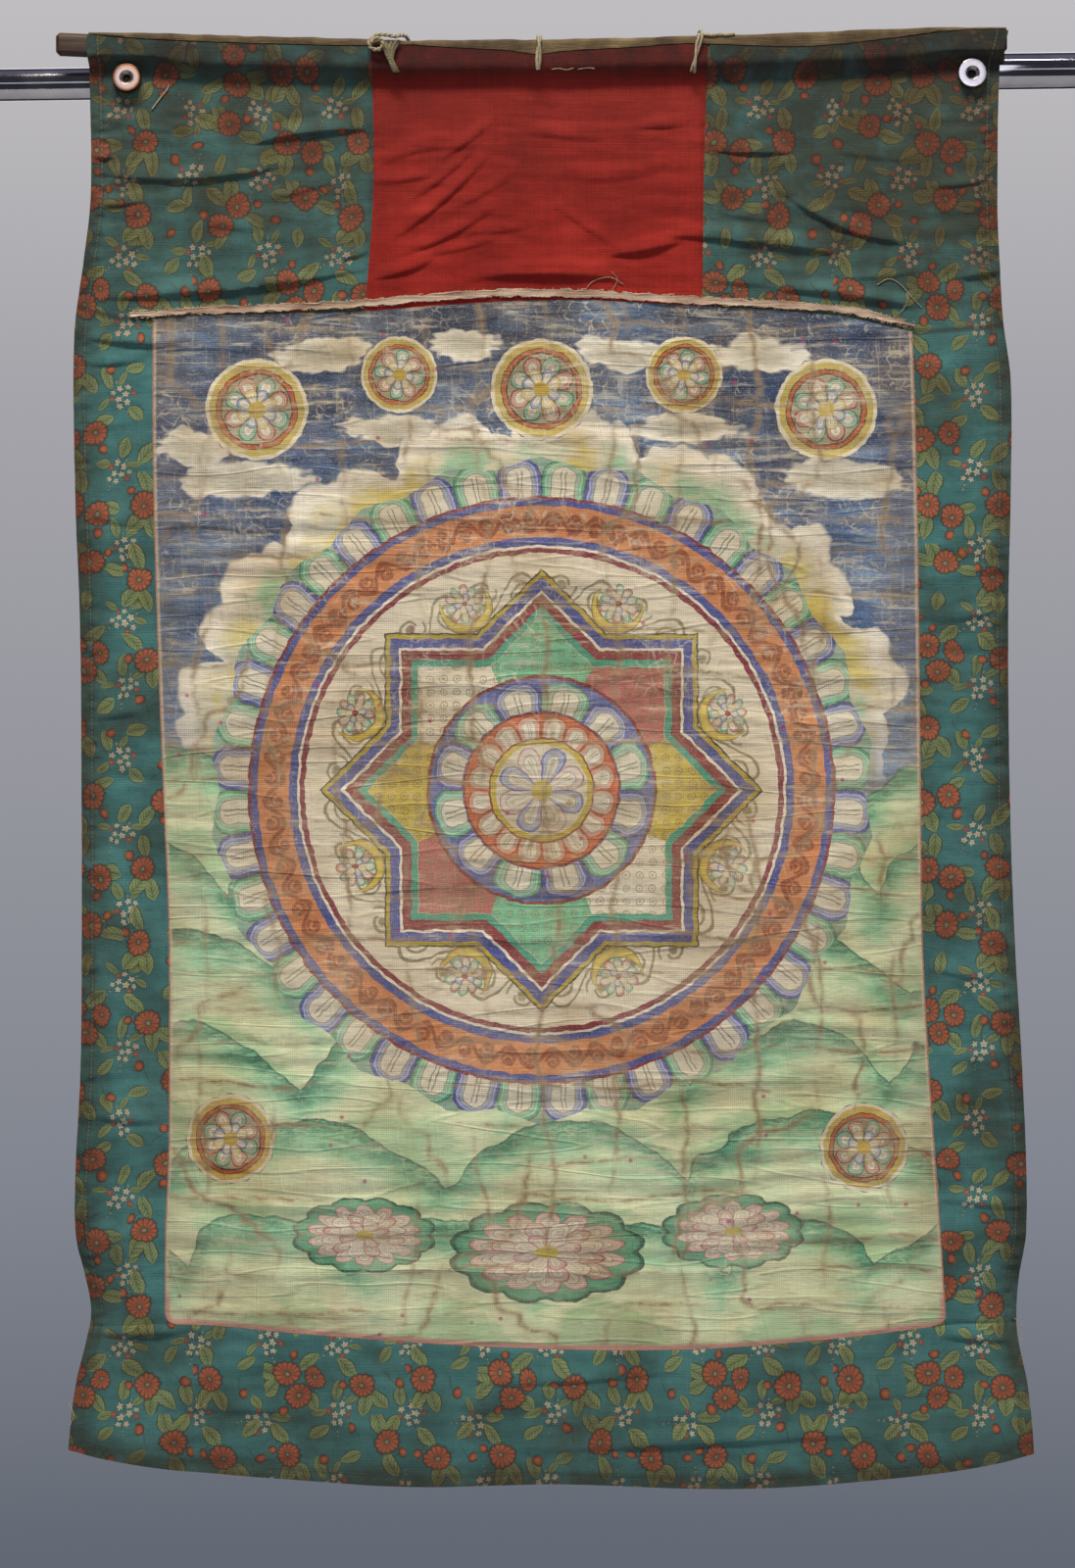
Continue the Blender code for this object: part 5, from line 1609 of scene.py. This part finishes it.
def smooth_route(route, step=0.7):
    """Points at even steps on a smooth curve through a route's own points, in millimetres."""
    knots = [Vector(point) for point in route]
    knots = [knots[0] * 2 - knots[1], *knots, knots[-1] * 2 - knots[-2]]
    fine = []
    for number in range(1, len(knots) - 2):
        a, b, c, d = knots[number - 1 : number + 3]
        count = max(2, int((c - b).length / step * 2))
        for share in range(count):
            t = share / count
            square, cube = 2 * a - 5 * b + 4 * c - d, 3 * b - a - 3 * c + d
            fine.append(0.5 * (2 * b + (c - a) * t + square * t**2 + cube * t**3))
    fine.append(knots[-2])
    even, gone = [fine[0]], 0.0
    for before, after in zip(fine, fine[1:]):
        gone += (after - before).length
        if gone >= step:
            even.append(after)
            gone = 0.0
    return even


def twisted(points, radius, pitch, phase):
    """A strand that winds round a smooth line."""
    strand = []
    side = Vector((0.0, 0.0, 1.0)) if abs((points[1] - points[0]).z) < 0.5 else Vector((1.0, 0.0, 0.0))
    run = 0.0
    for number, point in enumerate(points):
        ahead = points[min(number + 1, len(points) - 1)] - points[max(number - 1, 0)]
        ahead.normalize()
        side = (side - ahead * side.dot(ahead)).normalized()
        across = ahead.cross(side)
        if number:
            run += (point - points[number - 1]).length
        angle = 2 * math.pi * run / pitch + phase
        strand.append(point + (side * math.cos(angle) + across * math.sin(angle)) * radius)
    return strand


def make_threads(name, strands, finish, sides=2):
    """One piece of round threads. Each strand is its points, in place, and its radius."""
    curve = bpy.data.curves.new(name, "CURVE")
    curve.dimensions = "3D"
    curve.bevel_depth = 1.0
    curve.bevel_resolution = sides
    curve.use_fill_caps = True
    for points, radius in strands:
        spline = curve.splines.new("POLY")
        spline.points.add(len(points) - 1)
        for number, point in enumerate(points):
            spline.points[number].co = (*point, 1.0)
            spline.points[number].radius = radius * MM
    choose_only(put_in_scene(name, curve))
    bpy.ops.object.convert(target="MESH")
    return finish_piece(bpy.context.object, name, [finish], 60.0)


def tie_route(top_across, foot_across, foot_below):
    """Over the sleeve, from the seam below its front to halfway down its back: across, drop, depth."""
    offset = CLOTH / 2 + TIE_CLEARANCE + TIE_RADIUS
    corner = SLEEVE_CORNER_RADIUS + offset
    middle = SLEEVE_CORNER_RADIUS + CLOTH / 2
    route = []
    for below_top in np.linspace(foot_below, TIE_FRONT_TOP, 8):
        across = top_across + (foot_across - top_across) * below_top / SLEEVE_SEAM
        slope = (sleeve_depth(across, below_top + 1) - sleeve_depth(across, below_top - 1)) / 2
        depth = sleeve_depth(across, below_top) + offset * math.hypot(1, slope)
        route.append((across, facing_top(across) + below_top, float(depth)))
    front_corner = SLEEVE_FRONT_DEPTH - SLEEVE_CORNER_RADIUS
    back_corner = SLEEVE_BACK_DEPTH + SLEEVE_CORNER_RADIUS
    for turns, from_depth, way in ((TIE_FRONT_CORNER, front_corner, 1), (TIE_BACK_CORNER, back_corner, -1)):
        for angle in map(math.radians, turns):
            drop = facing_top(top_across) + middle - corner * math.sin(angle)
            route.append((top_across, drop, from_depth + way * corner * math.cos(angle)))
    route.append((top_across, facing_top(top_across) + TIE_BACK_END, SLEEVE_BACK_DEPTH - offset))
    return route


def seam_route():
    """The piping's way: down the painting's left side, along its foot and up its right side."""
    left_top = header_foot(-272.4) + PIPING_BELOW_HEADER
    right_top = header_foot(249.4) + PIPING_BELOW_HEADER
    left_foot, right_foot = foot_seam(-264.0), foot_seam(273.6)
    down = np.concatenate([np.linspace(0.0, 0.98, 240), np.linspace(0.981, 1.0, 16)])
    sides = [
        (painting_left, left_top + (left_foot - left_top) * down),
        (painting_right, (right_top + (right_foot - right_top) * down)[::-1]),
    ]
    left_side, right_side = [(curve(drop), drop) for curve, drop in sides]
    foot_across = np.linspace(left_side[0][-1], right_side[0][0], 180)[1:-1]
    across = np.concatenate([left_side[0], foot_across, right_side[0]])
    drop = np.concatenate([left_side[1], foot_seam(foot_across), right_side[1]])
    return list(zip(across, drop, cloth_depth(across, drop)))


def make_magnet(name, across, drop, depth, tilt, finish):
    """A disc turned with a countersunk hole through its middle."""
    disc = turned_bar(72, MAGNET_RADIUS, MAGNET_THICKNESS)
    sunk = MAGNET_HOLE_RADIUS / MAGNET_SINK_RADIUS
    for side, hole in ((1, MAGNET_SINK_RADIUS), (-1, MAGNET_HOLE_RADIUS)):
        choose("FACE", disc.data.polygons, lambda face: face.normal.z * side > 0.9)
        bpy.ops.mesh.inset(thickness=(MAGNET_RADIUS - hole) * MM)
        if side > 0:
            draw_out(-MAGNET_SINK_DEPTH)
            bpy.ops.transform.resize(value=(sunk, sunk, 1.0))
            draw_out(MAGNET_SINK_DEPTH - MAGNET_THICKNESS)
        bpy.ops.mesh.delete(type="FACE")
    bpy.ops.mesh.select_all(action="SELECT")
    bpy.ops.mesh.remove_doubles(threshold=0.0001)
    bpy.ops.mesh.normals_make_consistent(inside=False)
    bpy.ops.object.mode_set(mode="OBJECT")
    round_edges(disc, MAGNET_EDGE * 0.75, 3, 35)
    from_middle = []
    for vertex in disc.data.vertices:
        x, y = vertex.co.x / MM, vertex.co.y / MM
        from_middle += (x, y, math.hypot(x, y))
    disc.data.attributes.new("from_middle", "FLOAT_VECTOR", "POINT").data.foreach_set("vector", from_middle)
    disc.rotation_euler = (math.radians(90 - tilt), 0.0, 0.0)
    disc.location = place(across, drop, depth)
    return finish_piece(disc, name, [finish])


def make_rail(finish):
    """A thinner tube that slides in a thicker one, a little out of level."""
    rail = turned_bar(96, RAIL_THIN_RADIUS, RAIL_STEP_AT)
    choose("FACE", rail.data.polygons, lambda face: face.normal.z > 0.9)
    wider = RAIL_THICK_RADIUS / RAIL_THIN_RADIUS
    draw_out(0.0)
    bpy.ops.transform.resize(value=(wider, wider, 1.0))
    draw_out(RAIL_LENGTH - RAIL_STEP_AT)
    bpy.ops.object.mode_set(mode="OBJECT")
    round_edges(rail, RAIL_END_CHAMFER, 3, 40)
    rail.rotation_euler = (0.0, math.pi / 2 - RAIL_RISE, 0.0)
    return finish_piece(rail, "rail_tube", [finish])


def make_lath(finish):
    """A planed board that bows a little, with its long edges and its ends chamfered."""
    start_clean()
    bpy.ops.mesh.primitive_cube_add(size=1.0)
    lath = bpy.context.object

    def lengthwise(edge):
        first, second = (lath.data.vertices[number].co for number in edge.vertices)
        return abs(first.x - second.x) > 0.5

    choose("EDGE", lath.data.edges, lengthwise)
    bpy.ops.mesh.subdivide(number_cuts=27)
    bpy.ops.object.mode_set(mode="OBJECT")
    middle_depth = (SLEEVE_FRONT_DEPTH + SLEEVE_BACK_DEPTH) / 2
    for vertex in lath.data.vertices:
        across = LATH_LEFT_END + (LATH_RIGHT_END - LATH_LEFT_END) * (vertex.co.x + 0.5)
        top = LATH_MIDDLE_DROP - LATH_LEAN * across - LATH_BOW * across * across
        drop = top + LATH_HEIGHT * (0.5 - vertex.co.z)
        vertex.co = place(across, drop, middle_depth - LATH_THICKNESS * vertex.co.y)
    round_edges(lath, LATH_CHAMFER, 1, 22)
    round_edges(lath, 0.4, 2, 22)
    return finish_piece(lath, "lath_board", [finish])


# ---------------------------------------------------------------- loose threads and fray

# Loose threads on the cloth: each a few points of across and drop, then its radius
LOOSE_THREADS = (
    ((-273, 51, -268, 44, -263, 38, -261.5, 34), 0.55),
    ((-273.4, 51, -270, 47, -266, 42), 0.4),
    ((2, 25.4, 7, 24.8, 12, 25.6, 17, 24.6), 0.35),
    ((20, 25.2, 27, 24.4, 33, 25.0), 0.3),
    ((226, 172, 234, 168, 242, 172, 250, 181, 257, 188), 0.3),
    ((236, 196, 243, 190, 247, 183, 246, 176), 0.25),
    ((24, 178, 30, 170, 42, 167, 52, 172), 0.25),
    ((36, 182, 44, 175, 47, 168, 43, 163), 0.22),
    ((321, 884, 326, 889, 324, 895, 327, 901), 0.3),
    ((-330, 940, -326, 948, -328, 955), 0.25),
)


def lie_on_cloth(points, clearance):
    """Points of across and drop, put in place just in front of the cloth."""
    across, drop = np.array(points[::2], float), np.array(points[1::2], float)
    depth = cloth_depth(across, drop) + CLOTH / 2 + clearance
    return [(a, d, z) for a, d, z in zip(across, drop, depth)]


def in_place(route):
    return [place(*point) for point in route]


def make_loose_threads(finish):
    strands = []
    for points, radius in LOOSE_THREADS:
        line = smooth_route(lie_on_cloth(points, 0.6), 1.5)
        strands.append((in_place(line), radius))
    return make_threads("loose_threads", strands, finish, 1)


def make_fray(finish):
    """Short threads that stand out of the torn edges of the raw strip, and long ones that lie along it."""
    chance = random.Random(8)
    strands = []
    left, right = STRIP_ENDS
    for number in range(420):
        across = chance.uniform(left, right)
        side = chance.choice((-1, 1))
        long_one = number % 5 == 0
        lean = chance.uniform(-6.0, 6.0) if long_one else chance.uniform(-1.6, 1.6)
        reach = chance.uniform(0.5, 1.8)
        start = strip_middle(across) + side * (STRIP_HALF_WIDTH - 0.6)
        ends = []
        for share in (0.0, 0.5, 1.0):
            at = across + lean * share
            drop = start + side * reach * math.sin(share * 2.2)
            depth = cloth_depth(at, drop) + CLOTH + STRIP_GAP + 0.45 + chance.uniform(-0.15, 0.35)
            ends.append(place(at, drop, depth))
        strands.append((ends, chance.uniform(0.13, 0.22)))
    return make_threads("strip_fray", strands, finish, 0)


# ---------------------------------------------------------------- studio

# The photograph's frame: 1.08 m high at the cloth, seen level from 2.2 m
CAMERA_DISTANCE = 2.2
FRAME_HEIGHT = 1.080
FRAME_CENTRE = (0.4107, -0.4841)
SENSOR = 36.0


def make_camera():
    camera = bpy.data.cameras.new("camera")
    camera.sensor_width = SENSOR
    camera.lens = SENSOR * CAMERA_DISTANCE / FRAME_HEIGHT
    camera.clip_end = 50.0
    holder = put_in_scene("camera", camera)
    holder.location = (FRAME_CENTRE[0], -CAMERA_DISTANCE - HANG_DEPTH * MM, FRAME_CENTRE[1])
    holder.rotation_euler = (math.pi / 2, 0.0, 0.0)
    bpy.context.scene.camera = holder


def make_light(name, place_at, aim_at, width, height, watts, tone):
    light = bpy.data.lights.new(name, "AREA")
    light.shape = "RECTANGLE"
    light.size, light.size_y = width, height
    light.energy = watts
    light.color = colour(tone)[:3]
    holder = put_in_scene(name, light)
    holder.location = place_at
    aim = Vector(aim_at) - Vector(place_at)
    holder.rotation_euler = aim.to_track_quat("-Z", "Y").to_euler()


def make_world():
    """A pale grey studio: the eye sees a backdrop painted darker towards its foot as shade on a wall, and
    metal mirrors a bright ceiling, a dim room and a grey floor."""
    world = bpy.data.worlds.new("studio")
    bpy.context.scene.world = world
    world.use_nodes = True
    nodes, links = world.node_tree.nodes, world.node_tree.links
    add = node_adder(nodes, links)
    direction = add("TexCoord", out=0)
    axes = add("SeparateXYZ", [direction])
    up = add("MapRange", [axes.node.outputs[2], -1.0, 1.0, 0.0, 1.0])
    room = add("ValToRGB", [up], stops=ROOM_TONES)
    wall = add("ValToRGB", [up], stops=BACKDROP_TONES)
    seen = add("LightPath", out=0)
    links.new(blend_colours(add, seen, room, wall), nodes["Background"].inputs["Color"])


ROOM_TONES = (
    (0.0, "A2A2AA"), (0.07, "8A8A92"), (0.10, "3A3840"), (0.462, "34323A"), (0.476, "D8D8E0"),
    (0.524, "D8D8E0"), (0.538, "3A3840"), (0.93, "3C3A44"), (0.97, "6A6878"), (1.0, "7C7A88"),
)
# Backdrop tones from its foot to its top: painted shade makes it darker towards the foot.
BACKDROP_TONES = (
    (0.0, "5E636F"), (0.385, "636974"), (0.44, "828690"), (0.56, "A5A4AA"), (0.617, "BFBDBF"),
    (1.0, "C6C5C7"),
)


def make_studio():
    bpy.context.scene.view_settings.view_transform = "Standard"
    middle = (FRAME_CENTRE[0], 0.0, FRAME_CENTRE[1])
    make_light("key", (-0.10, -1.70, 2.85), middle, 1.7, 0.5, 148.0, "FFF6EA")
    make_light("front_fill", (0.6, -3.2, 0.4), middle, 2.2, 2.2, 24.0, "F4F2FF")
    make_light("back_fill", (0.5, 3.0, 1.0), middle, 2.4, 2.4, 26.0, "F4F2FF")
    make_light("rail_glint", (0.45, -1.7, 3.4), (0.41, 0.0, 0.0), 3.0, 0.25, 30.0, "FFFFFF")
    start_clean()
    bpy.ops.mesh.primitive_circle_add(
        vertices=96, radius=1.9, fill_type="NGON", location=(FRAME_CENTRE[0], 0.0, -1.5)
    )
    floor = finish_piece(bpy.context.object, "floor", [matt_floor()])


# ---------------------------------------------------------------- the hanging


def adopt(piece, node, slot):
    """A finished piece hangs from the rail with the rest and stands for its solid."""
    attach(piece, "root")
    if node:
        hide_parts(node)
    return piece


CALICO_TONES = ((0.30, "3C2F22"), (0.48, "594A33"), (0.62, "6E5D40"), (0.8, "867452"))
STRIP_TONES = ((0.28, "94765E"), (0.48, "BA9E86"), (0.66, "D0BAA2"), (0.85, "E2D2BC"))
RAW_CANVAS_TONES = ((0.28, "8C7A5A"), (0.48, "A8956F"), (0.66, "B9A882"), (0.85, "CDBE9A"))
RED_BACK_TONES = ((0.3, "6E2018"), (0.6, "842C22"), (0.8, "96382C"))
TAPE_TONES = ((0.28, "5E543E"), (0.48, "7E7458"), (0.66, "968C6E"), (0.85, "AFA688"))


def make_hanging():
    print_side, print_back = printed_cotton(), print_reverse()
    red, canvas_paint = red_cotton(), painted_canvas()
    tan = plain_cloth("soiled_calico", CALICO_TONES, 1.0, 0.92)
    strip_cloth = plain_cloth("torn_canvas_strip", STRIP_TONES, 0.9, 0.92)
    raw_back = plain_cloth("canvas_wrong_side", RAW_CANVAS_TONES, 1.3, 0.92)
    red_back = plain_cloth("dyed_cotton_wrong_side", RED_BACK_TONES, 1.2, 0.9)
    pink = cotton_cord("pink_cotton_cord", ((0.3, "7E5444"), (0.5, "A87C68"), (0.7, "C09A84")), 900.0)
    white = cotton_cord("soiled_cotton_cord", ((0.3, "6C6248"), (0.5, "9A8F70"), (0.7, "BCB292")), 700.0)
    tape = plain_cloth("soiled_cotton_tape", TAPE_TONES, 0.8, 0.92)
    torn = ((0.3, "A08A64"), (0.5, "C8B48C"), (0.7, "E0D0AC"))
    fray_finish = cotton_cord("frayed_canvas_thread", torn, 700.0)

    piped = (PIPED_INSET, PIPED_INSET, 0.0, PIPED_INSET)
    sheets = (
        # node, columns, rows, spread, thickness, right side, wrong side, slot
        ("header_left", 150, 196, header_spread(outer_left, header_left_seam),
         CLOTH, print_side, print_back, "printed_cotton"),
        ("header_centre", 168, 196, header_spread(header_left_seam, header_right_seam),
         CLOTH, red, red_back, "red_cotton"),
        ("header_right", 154, 196, header_spread(header_right_seam, outer_right),
         CLOTH, print_side, print_back, "printed_cotton"),
        ("top_facing", 240, 20, facing_spread, CLOTH, tan, tan, "tan_cotton"),
        ("seam_strip", 360, 8, strip_spread, CLOTH * 0.8, strip_cloth, strip_cloth, "raw_canvas"),
        ("painting", 186, 250, panel_spread(painting_left, painting_right, header_foot, foot_seam, piped),
         CANVAS, canvas_paint, raw_back, "painted_canvas"),
        ("side_border_left", 36, 420,
         panel_spread(outer_left, painting_left, header_foot, foot_seam, (0.0, PIPED_INSET, 0.0, 0.0)),
         CLOTH, print_side, print_back, "printed_cotton"),
        ("side_border_right", 36, 420,
         panel_spread(painting_right, outer_right, header_foot, foot_seam, (PIPED_INSET, 0.0, 0.0, 0.0)),
         CLOTH, print_side, print_back, "printed_cotton"),
        ("bottom_panel", 290, 52, panel_spread(outer_left, outer_right, foot_seam, foot_hem),
         CLOTH, print_side, print_back, "printed_cotton"),
        ("tie_left_tail", 28, 30, tape_spread, TAIL_THICKNESS * 0.7, tape, tape, "white_cotton"),
    )
    cloths = {}
    for node, columns, rows, spread, thickness, right_side, wrong_side, slot in sheets:
        piece = make_sheet(node + "_cloth", columns, rows, spread, thickness, [right_side, wrong_side])
        cloths[node] = adopt(piece, node, slot)

    piping = make_threads("piping_cord", [(in_place(seam_route()), PIPING_RADIUS)], pink, 3)
    adopt(piping, "piping", "pink_cord")

    left_line = smooth_route(TIE_LEFT_ROUTE)
    middle_line = smooth_route(tie_route(-6.6, -7.6, 21.5))
    right_line = smooth_route(tie_route(103.8, 98.2, 25.0))
    ties = (
        # node, its line, strand radius, how far the strands wind from the line, pitch of the twist
        ("tie_left", left_line, 0.85, 0.65, 7.0),
        ("tie_middle", middle_line, 1.0, 1.15, 38.0),
        ("tie_right", right_line, 0.9, 1.2, 46.0),
    )
    for node, line, radius, wind, pitch in ties:
        strands = [(in_place(twisted(line, wind, pitch, turn)), radius) for turn in (0.3, 0.3 + math.pi)]
        if node == "tie_right":
            strands.append((in_place(smooth_route(TIE_RIGHT_TAIL)), 1.1))
        adopt(make_threads(node + "_cord", strands, white, 3), node, "white_cotton")

    loose = adopt(make_loose_threads(white), None, "white_cotton")
    fray = adopt(make_fray(fray_finish), None, "raw_canvas")

    nickel = nickel_plate("polished_nickel_plate", BRIGHT_NICKEL_TONES, 0.16)
    copper = nickel_plate("worn_nickel_plate", WORN_NICKEL_TONES, 0.26)
    for magnet, finish in zip(MAGNETS, (copper, nickel)):
        disc = make_magnet(magnet[0] + "_disc", *magnet[1:], finish)
        adopt(disc, magnet[0], "nickel_plate")
    adopt(make_rail(chrome_plate()), "rail", "chrome_plate")
    adopt(make_lath(lath_wood()), "lath", "brown_wood")

    for node, cloth in cloths.items():
        extras = {"seam_strip": [fray], "header_left": [loose]}.get(node, [])
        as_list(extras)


make_camera()
make_world()
make_studio()
make_hanging()
